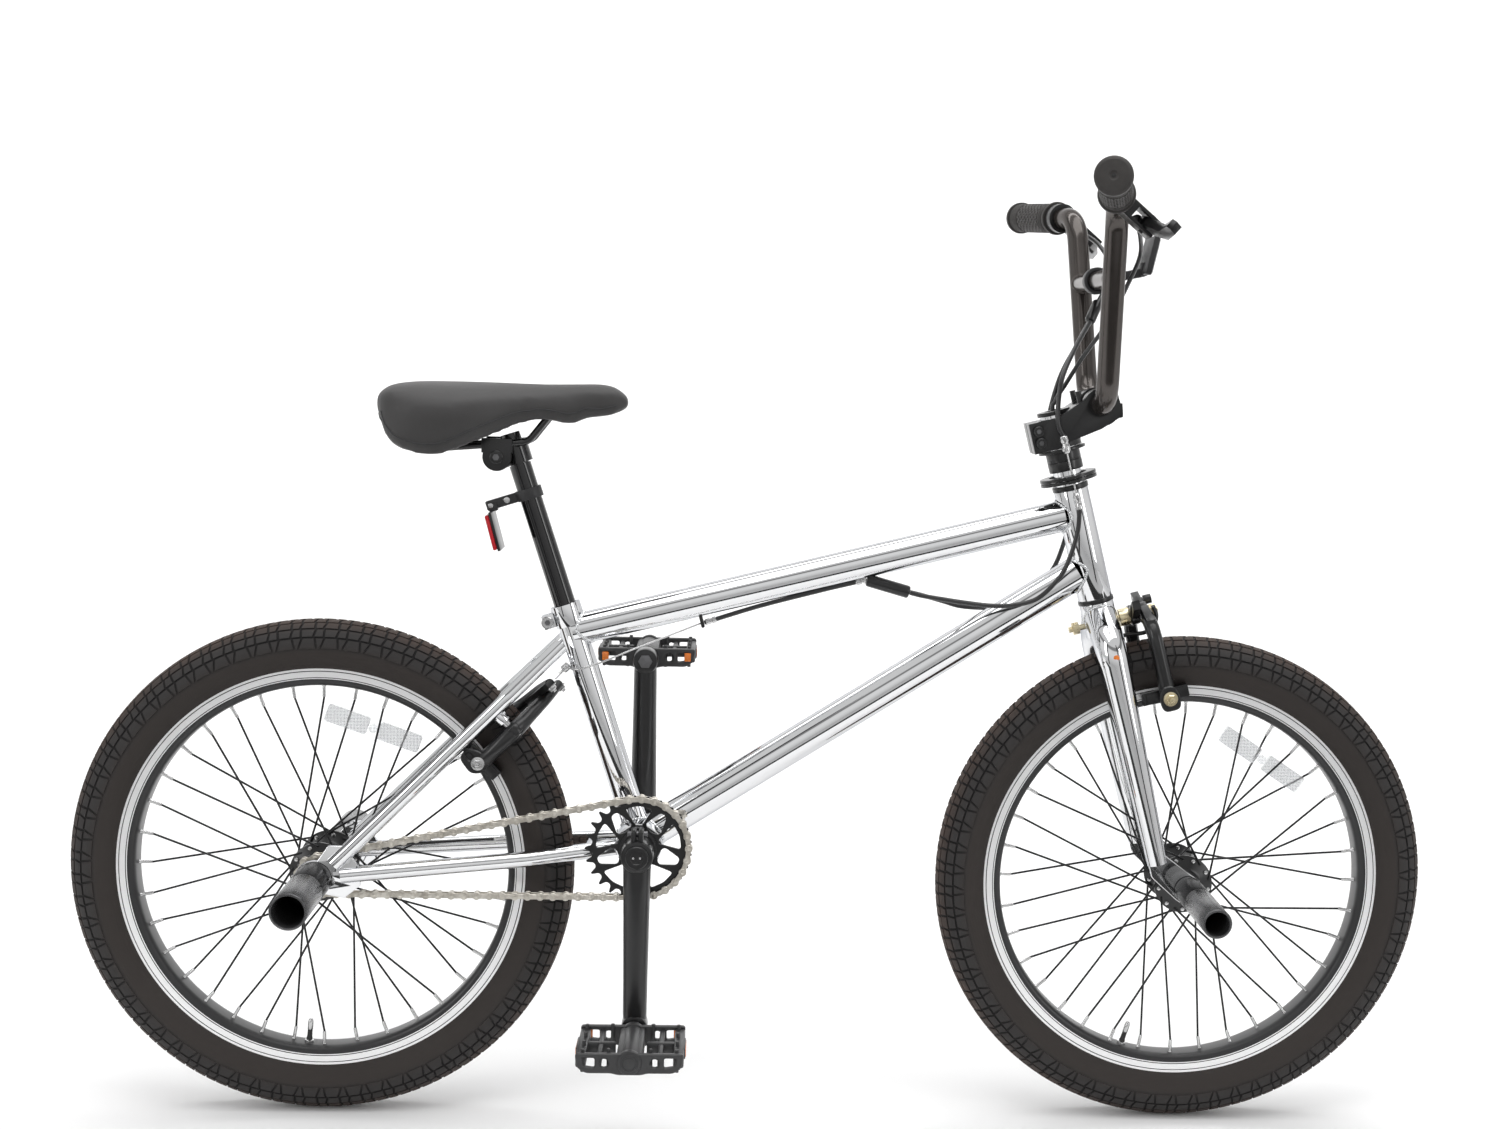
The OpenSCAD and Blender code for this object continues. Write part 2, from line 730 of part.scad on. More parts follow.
module rear_brake_cable() {
    color("black") {
        for (side = [-1, 1]) cord(lower_route(side, side < 0 ? 0 : 6), cable_r, [0, 1, 0]);
        cord(wire_route, cable_r, [0, 1, 0]);
        rod(barrel_ends[0], barrel_ends[1], 6.5);
    }
    color("silver") {
        ferrule(wire_route, 6.5, 3);
        cord(bare_route, wire_r, [0, 1, 0]);
        for (side = [-1, 1]) {
            rod(steer_pt([0, side * gyro_y, 420]), steer_pt([0, side * gyro_y, 404]), 3.6);
            rod(steer_pt([0, side * gyro_y, 420.2]), steer_pt([0, side * gyro_y, 429.6]), wire_r);
            rod(stay_pt([24, side * 6, 317]), stay_pt([24, side * 20, 307]), wire_r);
        }
        rod(stay_pt([24, 0, 322.5]), stay_pt([24, 0, 316]), 4);
    }
}

lever_port = [340, 138.6, 918.6];
split_ends = [[336, 26, 846], [326, 14, 826]];
upper_route = [lever_port, [349, 112, 908], [354, 80, 890], [348, 48, 866], split_ends[0] + [0.3, 0.3, 0.5]];
upper_ends = [[[325.8, 16.9, 825.4], [314, 22, 800], [300, 29, 768], steer_pt([-2, gyro_y, 495]),
        steer_pt([0, gyro_y, 478.4])],
    [[325.8, 11.1, 825.4], [310, -4, 800], [294, -24, 766], steer_pt([-2, -gyro_y, 495]),
        steer_pt([0, -gyro_y, 478.4])]];

module gyro_upper_cable() {
    color("black") {
        cord(upper_route, cable_r, [1, 0, 0]);
        for (r = upper_ends) cord(r, cable_r, [1, 0, 0]);
        rod(split_ends[0], split_ends[1], 5.5);
    }
    color("silver") for (side = [-1, 1]) {
        rod(steer_pt([0, side * gyro_y, 478]), steer_pt([0, side * gyro_y, 461]), 4.2);
        rod(steer_pt([0, side * gyro_y, 460.8]), steer_pt([0, side * gyro_y, 437.6]), wire_r);
    }
}

front_route = [[340, -138.6, 918.6], [350, -112, 906], [356, -84, 888], [350, -60, 862], [340, -46, 836],
    [328, -34, 812], [316, -14, 790], [302, 2, 762], [293, 6, 745], steer_pt([0, 6, 496]),
    steer_pt([0, 6, 400]), steer_pt([0, 6, 300]), steer_pt([1, 6, 273]), steer_pt([10, 7, 262]),
    steer_pt([26, 6, 261]), steer_pt([46, 0, 261]), steer_pt([60, -8, 266]), steer_pt([66, -17, 278]),
    steer_pt([62, -20, 290])];

module front_brake_cable() {
    color("black") cord(front_route, 2.2, [0, 1, 0.2]);
}

// ---------- brakes ----------

module front_brake_bolt() {
    color("tan") steer_frame() translate([0, 0, front_pivot_s]) rotate([0, 90, 0]) {
        translate([0, 0, -34]) cylinder(h = 94, r = bolt_r);
        translate([0, 0, -30]) difference() {
            cylinder(h = 7, r = 6.5, $fn = 6);
            translate([0, 0, -1]) cylinder(h = 9, r = bolt_r);
        }
        translate([0, 0, 51]) difference() {
            cylinder(h = 7, r = 6.5, $fn = 6);
            translate([0, 0, -1]) cylinder(h = 9, r = bolt_r);
        }
        translate([0, 0, 19.5]) difference() {
            cylinder(h = 10.5, r = 9);
            translate([0, 0, -1]) cylinder(h = 13, r = bolt_r);
        }
    }
}

// Brake shoe on its post: y is the rim's outer face, the shoe is 48 long
module brake_shoe(x, z, turn) {
    inner = rim_half_w + pad_gap;
    translate([x, 0, z]) rotate([0, turn, 0]) {
        translate([-24, inner, -6]) cube([48, 8, 12]);
        translate([-20, inner + 8, -4.5]) cube([40, 2, 9]);
        translate([0, inner + 10, 0]) rotate([-90, 0, 0]) cylinder(h = 11, r = 3);
    }
}

// One calliper arm in the steering frame, shoe on the side of +y
module calliper_arm(x) {
    shoe_s = sqrt(198 * 198 - (x + 4 - fork_offset) * (x + 4 - fork_offset));
    difference() {
        union() {
            translate([x, 0, 0]) rotate([90, 0, 90]) linear_extrude(8) {
                translate([0, front_pivot_s]) circle(10);
                polygon([[-6, front_pivot_s + 8], [-30, front_pivot_s + 18], [-32, front_pivot_s + 9],
                    [0, front_pivot_s - 8], [26, front_pivot_s - 14], [35, front_pivot_s - 34],
                    [35, shoe_s - 8], [44, shoe_s - 8], [45, front_pivot_s - 34],
                    [38, front_pivot_s - 4], [14, front_pivot_s + 8]]);
            }
            translate([x + 4, 0, shoe_s]) rotate([-90, 0, 0]) translate([0, 0, 34]) cylinder(h = 12, r = 8);
        }
        translate([x - 1, 0, front_pivot_s]) rotate([0, 90, 0]) cylinder(h = 12, r = bolt_r + fit);
        translate([x + 4, 30, shoe_s]) rotate([-90, 0, 0]) cylinder(h = 30, r = 3);
    }
    brake_shoe(x + 4, shoe_s, 0);
    translate([x + 4, 46, shoe_s]) rotate([-90, 0, 0]) cylinder(h = 6, r = 5.4);
}

module front_brake_arm_left() {
    color("black") steer_frame() calliper_arm(31);
}

module front_brake_arm_right() {
    color("black") steer_frame() mirror([0, 1, 0]) calliper_arm(41);
    color("tan") steer_frame() translate([51, 20, 290]) rotate([0, 90, 0]) cylinder(h = 8, r = 5);
}

// One U-brake arm in the frame of the stays, pivot and shoe on the side of +y
module u_brake_arm(n) {
    shoe_u = sqrt(198 * 198 - 30 * 30);
    difference() {
        union() {
            translate([n, 0, 0]) rotate([90, 0, 90]) linear_extrude(7) {
                translate([rear_pivot_y, rear_pivot_u]) circle(9);
                polygon([[rear_pivot_y - 8, rear_pivot_u - 4], [34, shoe_u - 8], [42, shoe_u - 8],
                    [rear_pivot_y + 9, rear_pivot_u], [rear_pivot_y + 4, rear_pivot_u + 9],
                    [14, 284], [-18, 302], [-24, 296], [-14, 284], [12, 264], [30, 252]]);
            }
            translate([20, 33, shoe_u]) rotate([-90, 0, 0]) cylinder(h = 11, r = 7.5);
            translate([14, 33, shoe_u - 7]) cube([22, 9, 14]);
        }
        translate([n - 20, rear_pivot_y, rear_pivot_u]) rotate([0, 90, 0]) cylinder(h = 50, r = 4 + fit);
        translate([30, 10, shoe_u]) rotate([-90, 0, 0]) cylinder(h = 50, r = 3);
    }
    brake_shoe(30, shoe_u, 0);
    translate([30, 42, shoe_u]) rotate([-90, 0, 0]) cylinder(h = 6, r = 5.4);
}

module rear_brake_arm_left() {
    color("black") stay_frame() u_brake_arm(20);
}

module rear_brake_arm_right() {
    color("black") stay_frame() mirror([0, 1, 0]) u_brake_arm(28.5);
}

// ---------- wheels ----------

module wheel_at(x) {
    translate([x, 0, axle_z]) rotate([90, 0, 0]) children();
}

module tyre() {
    rotate_extrude($fn = 120) difference() {
        union() {
            intersection() {
                translate([tyre_r - tyre_w / 2, 0]) circle(tyre_w / 2);
                translate([rim_r + 0.4, -tyre_w]) square([tyre_w, 2 * tyre_w]);
            }
            translate([rim_r - 5.5, -bead_half_w]) square([7, 2 * bead_half_w]);
        }
        translate([cavity_mid, 0]) circle(cavity_r);
        translate([rim_r - 8, -bead_half_w + 3.5]) square([12, 2 * bead_half_w - 7]);
    }
}

// Tube with a valve stem that points to the hub at the bottom of the wheel
module valve_tube(turn) {
    difference() {
        union() {
            rotate_extrude() translate([cavity_mid, 0]) circle(cavity_r - 0.3);
            rotate([0, 0, turn]) translate([0, -162, 0]) rotate([90, 0, 0]) cylinder(h = 46.5, r = 3);
        }
        rotate_extrude() translate([cavity_mid, 0]) circle(cavity_r - 1.5);
    }
}

module rim(turn) {
    difference() {
        rotate_extrude($fn = 120) difference() {
            translate([rim_r - rim_depth, -rim_half_w]) square([rim_depth, 2 * rim_half_w]);
            translate([rim_r - 6, -bead_half_w - 0.2]) square([8, 2 * bead_half_w + 0.4]);
            translate([rim_r - rim_depth + 3, -rim_half_w + 2]) square([10.5, 2 * rim_half_w - 4]);
        }
        rotate([0, 0, turn]) translate([0, -150, 0]) rotate([90, 0, 0]) cylinder(h = 60, r = 3.3);
    }
}

// Polar point of a wheel, y across the wheel
function polar(r, a, y) = [r * cos(a), r * sin(a), y];

module spoke_set() {
    step = 360 / spokes;
    for (side = [-1, 1], k = [0 : spokes / 4 - 1], lead = [-1, 1]) {
        hub_a = 4 * step * k + (lead > 0 ? 0 : 2 * step) + (side > 0 ? step : 0);
        rim_a = hub_a + lead * 6 * step;
        hub_y = side * (flange_y + lead * 2.5);
        rim_y = side * (2.6 + lead * 1.1);
        tip = polar(rim_r - rim_depth - 13, rim_a, rim_y);
        rod(polar(spoke_circle_r, hub_a, hub_y), tip, spoke_r);
        rod(tip, polar(rim_r - rim_depth + 1.5, rim_a, rim_y), 2);
        rod(polar(spoke_circle_r, hub_a, side * flange_y - 3.2), polar(spoke_circle_r, hub_a, side * flange_y + 3.2), 1.3);
    }
}

module hub(axle_radius, half, shell) {
    difference() {
        union() {
            translate([0, 0, -half + 8]) cylinder(h = 2 * half - 16, r = shell);
            for (y = [-1, 1]) translate([0, 0, y * flange_y - flange_t / 2]) cylinder(h = flange_t, r = flange_r);
            for (y = [-1, 1]) translate([0, 0, y * (flange_y - 5) - 3]) cylinder(h = 6, r = shell + 3);
        }
        cylinder(h = 3 * half, r = shell - 3, center = true);
    }
    for (y = [-half + 8, half - 18]) translate([0, 0, y]) difference() {
        cylinder(h = 10, r = shell - 3);
        translate([0, 0, -1]) cylinder(h = 12, r = axle_radius + fit);
    }
}

module wheel_reflector(turn) {
    rotate([0, 0, turn]) translate([151, 0, 0]) {
        difference() {
            cube([26, 106, 7], center = true);
            for (y = [-34, 34]) translate([0, y, 4]) cube([18, 30, 3], center = true);
            for (y = [-34, 34]) translate([0, y, -4]) cube([18, 30, 3], center = true);
        }
    }
}

module front_tyre() {
    color("dimgray") wheel_at(front_x) tyre();
}

module front_inner_tube() {
    color("black") wheel_at(front_x) valve_tube(-16);
}

module front_rim() {
    color("silver") wheel_at(front_x) rim(-16);
}

module front_spokes() {
    color("black") wheel_at(front_x) spoke_set();
}

module front_hub() {
    color("black") wheel_at(front_x) hub(front_axle_r, front_hub_half, 15);
}

module front_wheel_reflector() {
    color("white") wheel_at(front_x) wheel_reflector(57);
}

module rear_tyre() {
    color("dimgray") wheel_at(rear_x) tyre();
}

module rear_inner_tube() {
    color("black") wheel_at(rear_x) valve_tube(-5);
}

module rear_rim() {
    color("silver") wheel_at(rear_x) rim(-5);
}

module rear_spokes() {
    color("black") wheel_at(rear_x) spoke_set();
}

module rear_hub() {
    color("black") wheel_at(rear_x) {
        difference() {
            hub(rear_axle_r, rear_hub_half, 16);
            translate([0, 0, rear_hub_half - 22]) cylinder(h = 30, r = 60);
        }
        difference() {
            translate([0, 0, rear_hub_half - 22]) cylinder(h = 18, r = 11);
            cylinder(h = 60, r = rear_axle_r + fit);
        }
    }
}

module rear_wheel_reflector() {
    color("white") wheel_at(rear_x) wheel_reflector(71);
}

// ---------- drive ----------

// Angles of the chain's straight runs against the line between the two centres
run_tilt = asin((ring_pitch_r - cog_pitch_r) / stay_len);
ring_wrap = (180 + 2 * run_tilt) / (360 / ring_teeth);
cog_wrap = (180 - 2 * run_tilt) / (360 / cog_teeth);
run_pitches = (chain_pitches - ring_wrap - cog_wrap) / 2;
axle_line = atan2(axle_z - bb_z, rear_x - bb_x);
upper_a = axle_line - 90 + run_tilt;
lower_a = axle_line - 270 - run_tilt;

// Chain pin k: round the ring's front, back along the lower run, round the cog, along the upper run
function on_circle(c, r, a) = [c[0] + r * cos(a), c[2] + r * sin(a)];
function chain_pin(k) =
    k < ring_wrap ? on_circle(bb, ring_pitch_r, upper_a - k * 360 / ring_teeth)
    : k < ring_wrap + run_pitches ? lerp(on_circle(bb, ring_pitch_r, lower_a),
        on_circle([rear_x, 0, axle_z], cog_pitch_r, lower_a), (k - ring_wrap) / run_pitches)
    : k < ring_wrap + run_pitches + cog_wrap ? on_circle([rear_x, 0, axle_z], cog_pitch_r,
        lower_a - (k - ring_wrap - run_pitches) * 360 / cog_teeth)
    : lerp(on_circle([rear_x, 0, axle_z], cog_pitch_r, upper_a), on_circle(bb, ring_pitch_r, upper_a),
        (k - ring_wrap - run_pitches - cog_wrap) / run_pitches);
function lerp(a, b, t) = a + (b - a) * t;
cog_phase = lower_a + (ring_wrap + run_pitches) * 360 / cog_teeth;

module link_plate(t) {
    linear_extrude(t) difference() {
        union() {
            circle(4);
            translate([pitch, 0]) circle(4);
            translate([0, -2.6]) square([pitch, 5.2]);
        }
        circle(1.95);
        translate([pitch, 0]) circle(1.95);
    }
}

module chain() {
    color("wheat") for (k = [0 : chain_pitches - 1]) {
        p = chain_pin(k);
        q = chain_pin(k + 1 < chain_pitches ? k + 1 : 0);
        translate([p[0], -chain_line, p[1]]) rotate([90, 0, 0]) rotate([0, 0, atan2(q[1] - p[1], q[0] - p[0])])
            if (k % 2 == 0) {
                for (y = [2.4, -3.4]) translate([0, 0, y]) link_plate(1);
                for (x = [0, pitch]) translate([x, 0, -2.3]) linear_extrude(4.6) difference() {
                    circle(3.9);
                    circle(1.95);
                }
            } else {
                for (y = [3.5, -4.5]) translate([0, 0, y]) link_plate(1);
                for (x = [0, pitch]) translate([x, 0, -4.9]) cylinder(h = 9.8, r = 1.9);
            }
    }
}

// Radius of the hollow that a chain roller sits in
seat_r = 4.25;

// Each tooth stands this high over the pitch circle, and its flanks lean back by this slope
module toothed_disc(teeth, pitch_r, phase, height, slope) {
    difference() {
        circle(pitch_r + height);
        for (k = [0 : teeth - 1]) rotate([0, 0, phase + k * 360 / teeth]) translate([pitch_r, 0]) {
            circle(seat_r);
            polygon([[0, -seat_r], [8, -seat_r - 8 * slope], [8, seat_r + 8 * slope], [0, seat_r]]);
        }
    }
}

module chainring() {
    color("black") translate([bb_x, -chain_line + 1.1, bb_z]) rotate([90, 0, 0]) difference() {
        union() {
            linear_extrude(2.2) difference() {
                toothed_disc(ring_teeth, ring_pitch_r, upper_a, 3.2, 0.3);
                for (k = [0 : 4]) rotate([0, 0, 18 + 72 * k]) {
                    polygon([[21, 0], [40.5, 14], [43, 0], [40.5, -14]]);
                    rotate([0, 0, 36]) polygon([[42, 3], [42, -3], [22, -9], [19.5, 0], [22, 9]]);
                }
            }
            translate([0, 0, -3]) cylinder(h = 16, r = 15);
        }
        translate([0, 0, -10]) cylinder(h = 40, r = spindle_r);
    }
}

module rear_cog() {
    color("dimgray") translate([rear_x, -chain_line + 1.1, axle_z]) rotate([90, 0, 0]) difference() {
        union() {
            linear_extrude(2.2) toothed_disc(cog_teeth, cog_pitch_r, cog_phase, 2.3, 0.92);
            translate([0, 0, -3]) cylinder(h = 9, r = 13.5);
        }
        translate([0, 0, -10]) cylinder(h = 40, r = 11 + fit);
    }
}

module crank_spindle() {
    color("dimgray") cross_rod(bb_x, bb_z, -arm_y - 14, arm_y + 14, spindle_r);
    color("black") both_sides() cross_rod(bb_x, bb_z, arm_y + 14, arm_y + 16, 11.5);
}

module crank_arm() {
    difference() {
        union() {
            cross_rod(bb_x, bb_z, arm_y - 14, arm_y + 14, 16);
            translate([bb_x - 6, arm_y - 12, bb_z - 26]) cube([12, 24, 16]);
            translate([bb_x, arm_y, bb_z + 8]) cylinder(h = crank_len - 16, r1 = 14, r2 = arm_r);
            cross_rod(bb_x, bb_z + crank_len, arm_y - arm_r, arm_y + arm_r, 13);
        }
        cross_rod(bb_x, bb_z, arm_y - 20, arm_y + 20, spindle_r);
        translate([bb_x - 1, arm_y - 20, bb_z - 32]) cube([2, 40, 30]);
        translate([bb_x - 20, arm_y, bb_z - 21]) rotate([0, 90, 0]) cylinder(h = 40, r = 3);
    }
    cross_rod(bb_x, bb_z + crank_len, arm_y - arm_r, pedal_out - 2, pedal_pin_r);
    translate([bb_x - 10, arm_y, bb_z - 21]) rotate([0, 90, 0]) cylinder(h = 20, r = 3);
}

// The left arm points up and the right arm points down
module crank_arms() {
    color("black") crank_arm();
    color("black") translate([2 * bb_x, 0, 2 * bb_z]) rotate([0, 180, 0]) mirror([0, 1, 0]) crank_arm();
}

pedal_half_x = 52;
pedal_half_z = 9;

module pedal() {
    mid = (pedal_in + pedal_out) / 2;
    width = pedal_out - pedal_in;
    color("black") translate([bb_x, mid, bb_z + crank_len]) difference() {
        union() {
            difference() {
                cube([2 * pedal_half_x, width, 2 * pedal_half_z], center = true);
                cube([2 * pedal_half_x - 16, width - 14, 40], center = true);
                for (x = [-37, -22, 22, 37]) translate([x, 0, 0]) cube([11, 200, 9], center = true);
                for (y = [-28, 0, 28]) translate([0, y, 0]) rotate([0, 90, 0]) cylinder(h = 200, r = 5.5, center = true);
            }
            cube([24, width, 2 * pedal_half_z], center = true);
            for (x = [-30, 30]) translate([x, 0, 0]) cube([6, width, 14], center = true);
            for (x = [-46, -28, 28, 46], y = [-42, -14, 14, 42])
                translate([x, y * (abs(x) < 40 ? 1 : 0.98), 0]) cylinder(h = 25, r = 2, center = true);
        }
        rotate([90, 0, 0]) cylinder(h = 200, r = pedal_pin_r + fit, center = true);
        translate([0, width / 2 - 6, 0]) rotate([-90, 0, 0]) cylinder(h = 20, r = 9);
    }
    color("orange") translate([bb_x, mid, bb_z + crank_len])
        for (x = [-46, 46]) translate([x + (x > 0 ? 7 : -7), 0, 0]) cube([2, 16, 10], center = true);
}

module pedal_left() {
    pedal();
}

module pedal_right() {
    translate([2 * bb_x, 0, 2 * bb_z]) rotate([0, 180, 0]) mirror([0, 1, 0]) pedal();
}

head_tube();
top_tube();
down_tube();
seat_tube();
bottom_bracket_shell();
chain_stays();
seat_stays();
rear_dropouts();
headset_cups();
bottom_bracket_bearings();
seat_binder_bolt();
rear_axle();
rear_pegs();
rear_brake_cable();
chain();
gyro_lower_plate();
gyro_upper_plate();
seat_post();
rear_reflector();
saddle();
saddle_rails();
saddle_clamp();
steerer_tube();
fork_legs();
stem();
stem_bolts();
handlebar();
grips();
brake_lever_mounts();
headset_spacers();
gyro_upper_cable();
front_brake_cable();
front_reflector();
front_axle();
front_pegs();
front_brake_bolt();
brake_lever_left();
brake_lever_right();
front_brake_arm_left();
front_brake_arm_right();
rear_brake_arm_left();
rear_brake_arm_right();
front_tyre();
front_inner_tube();
front_rim();
front_spokes();
front_hub();
front_wheel_reflector();
rear_tyre();
rear_inner_tube();
rear_rim();
rear_spokes();
rear_hub();
rear_wheel_reflector();
rear_cog();
crank_spindle();
crank_arms();
chainring();
pedal_left();
pedal_right();
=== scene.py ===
import json
import math

import bmesh
import bpy
import numpy as np
from mathutils import Matrix, Vector
from mathutils.bvhtree import BVHTree
from mathutils.geometry import tessellate_polygon

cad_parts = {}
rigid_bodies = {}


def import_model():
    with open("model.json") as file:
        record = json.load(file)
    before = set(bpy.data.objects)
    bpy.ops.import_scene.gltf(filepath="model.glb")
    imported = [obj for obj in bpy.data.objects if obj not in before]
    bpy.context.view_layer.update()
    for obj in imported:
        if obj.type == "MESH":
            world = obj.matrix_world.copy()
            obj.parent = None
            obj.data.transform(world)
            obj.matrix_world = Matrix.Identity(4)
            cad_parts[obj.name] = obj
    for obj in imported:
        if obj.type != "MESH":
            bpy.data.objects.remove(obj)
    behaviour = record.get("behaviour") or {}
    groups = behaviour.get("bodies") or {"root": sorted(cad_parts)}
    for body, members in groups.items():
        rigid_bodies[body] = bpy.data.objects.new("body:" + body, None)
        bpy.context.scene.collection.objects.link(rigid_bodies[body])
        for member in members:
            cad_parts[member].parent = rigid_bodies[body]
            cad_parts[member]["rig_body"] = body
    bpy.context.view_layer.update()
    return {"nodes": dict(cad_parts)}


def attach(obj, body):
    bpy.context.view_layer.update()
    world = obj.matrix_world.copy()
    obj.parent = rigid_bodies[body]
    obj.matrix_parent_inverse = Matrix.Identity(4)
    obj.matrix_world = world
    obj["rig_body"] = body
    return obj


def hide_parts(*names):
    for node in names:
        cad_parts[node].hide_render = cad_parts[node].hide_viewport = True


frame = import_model()
NODES = frame["nodes"]
MM = 0.001

# ---------------------------------------------------------------- camera
camera = bpy.data.objects.new("camera", bpy.data.cameras.new("camera"))
bpy.context.scene.collection.objects.link(camera)
bpy.context.scene.camera = camera
camera.data.sensor_width = 36
camera.data.lens = 51.39
camera.data.shift_x = -0.0615
camera.data.shift_y = 0.0368
camera.data.clip_end = 60
camera.matrix_world = (
    Matrix.Translation((-0.03884, -2.16422, 0.78594))
    @ Matrix.Rotation(-0.0559, 4, "Z")
    @ Matrix.Rotation(-0.1232, 4, "X")
    @ Matrix.Rotation(-0.0277, 4, "Y")
    @ Matrix.Rotation(math.radians(90), 4, "X")
)

# ---------------------------------------------------------------- places, in millimetres
AXLE_Z = 254.0
REAR_X = -440.0
FRONT_X = 440.0
BB = np.array([-119.45, 0, 286.6])
LEAN = math.radians(18.3)
HEAD = math.radians(15)
STAY = math.radians(45)
FOOT = np.array([FRONT_X - 20 * math.cos(HEAD), 0, AXLE_Z - 20 * math.sin(HEAD)])


def vec(*p):
    return np.array(p, float)


def unit(v):
    v = np.asarray(v, float)
    return v / np.linalg.norm(v)


def steer(x, y, s):
    return FOOT + vec(
        x * math.cos(HEAD) - s * math.sin(HEAD), y, x * math.sin(HEAD) + s * math.cos(HEAD)
    )


def stay(n, y, u):
    return vec(
        REAR_X + n * math.cos(STAY) + u * math.sin(STAY),
        y,
        AXLE_Z - n * math.sin(STAY) + u * math.cos(STAY),
    )


def post(t):
    return vec(BB[0] - t * math.sin(LEAN), 0, BB[2] + t * math.cos(LEAN))


STEER_AXES = np.array([steer(1, 0, 0) - FOOT, [0, 1, 0], steer(0, 0, 1) - FOOT])
STAY_AXES = np.array([stay(1, 0, 0) - stay(0, 0, 0), [0, 1, 0], stay(0, 0, 1) - stay(0, 0, 0)])
POST_AXIS = unit(post(1) - post(0))
HEAD_AXIS = STEER_AXES[2]

# ---------------------------------------------------------------- geometry
# Every shape is (points in mm, faces, uv in mm)


def rounded(points, radius, steps=14):
    points = [np.asarray(p, float) for p in points]
    out = [points[0]]
    for a, b, c in zip(points, points[1:], points[2:]):
        u, w = unit(a - b), unit(c - b)
        opening = math.acos(float(np.clip(u @ w, -1, 1)))
        centre = b + unit(u + w) * radius / math.sin(opening / 2)
        e = unit(b + u * radius / math.tan(opening / 2) - centre)
        for k in range(steps + 1):
            t = (math.pi - opening) * k / steps
            out.append(centre + radius * (e * math.cos(t) - u * math.sin(t)))
    out.append(points[-1])
    return out


def smooth_path(points, steps=8):
    p = [np.asarray(q, float) for q in points]
    out = []
    for i in range(len(p) - 1):
        a, b, c, d = p[max(i - 1, 0)], p[i], p[i + 1], p[min(i + 2, len(p) - 1)]
        for k in range(steps):
            t = k / steps
            out.append(
                0.5
                * (
                    2 * b
                    + (c - a) * t
                    + (2 * a - 5 * b + 4 * c - d) * t * t
                    + (3 * b - a - 3 * c + d) * t ** 3
                )
            )
    out.append(p[-1])
    return out


def grid(rings, sides, closed, caps):
    faces = []
    last = rings if closed else rings - 1
    for i in range(last):
        for k in range(sides):
            a, b = i * sides, ((i + 1) % rings) * sides
            faces.append((a + k, a + (k + 1) % sides, b + (k + 1) % sides, b + k))
    if caps and not closed:
        faces.append(tuple(range(sides - 1, -1, -1)))
        faces.append(tuple((rings - 1) * sides + k for k in range(sides)))
    return faces


def sweep(path, radius, sides=32, closed=False, caps=True):
    path = np.array(path, float)
    n = len(path)
    radius = np.broadcast_to(
        np.asarray(radius, float).reshape(-1, 1) if np.ndim(radius) == 1 else radius, (n, sides)
    )
    if closed:
        tangents = np.roll(path, -1, 0) - np.roll(path, 1, 0)
    else:
        tangents = np.gradient(path, axis=0)
    tangents = tangents / np.linalg.norm(tangents, axis=1)[:, None]
    side = np.cross(tangents[0], [0, 0, 1.0])
    if np.linalg.norm(side) < 0.1:
        side = np.cross(tangents[0], [0, 1.0, 0])
    side = unit(side)
    length = np.concatenate([[0], np.cumsum(np.linalg.norm(np.diff(path, axis=0), axis=1))])
    angle = np.linspace(0, 2 * math.pi, sides, endpoint=False)
    points, uv = [], []
    for i in range(n):
        side = unit(side - tangents[i] * (side @ tangents[i]))
        other = np.cross(tangents[i], side)
        points.append(
            path[i]
            + radius[i][:, None]
            * (np.cos(angle)[:, None] * side + np.sin(angle)[:, None] * other)
        )
        uv.append(np.column_stack([np.full(sides, length[i]), angle * radius[i].mean()]))
    return np.concatenate(points), grid(n, sides, closed, caps), np.concatenate(uv)


def lathe(profile, origin, axis, sides=48, closed=False):
    axis = unit(axis)
    side = np.cross(axis, [0, 0, 1.0])
    if np.linalg.norm(side) < 0.1:
        side = np.cross(axis, [1.0, 0, 0])
    side = unit(side)
    other = np.cross(axis, side)
    angle = np.linspace(0, 2 * math.pi, sides, endpoint=False)
    spoke = np.cos(angle)[:, None] * side + np.sin(angle)[:, None] * other
    points, uv, run = [], [], 0
    for i, (r, h) in enumerate(profile):
        points.append(np.asarray(origin, float) + axis * h + spoke * r)
        uv.append(np.column_stack([angle * 100, np.full(sides, float(r))]))
    return np.concatenate(points), grid(len(profile), sides, closed, not closed), np.concatenate(uv)


def rod(p, q, r, edge=0.5, sides=36):
    p, q = np.asarray(p, float), np.asarray(q, float)
    h = np.linalg.norm(q - p)
    e = min(edge, r * 0.4, h * 0.3)
    ring = [(r - e, 0), (r - 0.3 * e, 0.3 * e), (r, e), (r, h - e), (r - 0.3 * e, h - 0.3 * e), (r - e, h)]
    return lathe(ring, p, q - p, sides)


def sleeve(p, q, r, bore, edge=0.6, sides=56):
    p, q = np.asarray(p, float), np.asarray(q, float)
    h = np.linalg.norm(q - p)
    e = min(edge, (r - bore) * 0.45, h * 0.3)
    ring = [
        (bore, e), (bore + e, 0), (r - e, 0), (r - 0.3 * e, 0.3 * e), (r, e),
        (r, h - e), (r - 0.3 * e, h - 0.3 * e), (r - e, h), (bore + e, h), (bore, h - e),
    ]
    return lathe(ring, p, q - p, sides, closed=True)


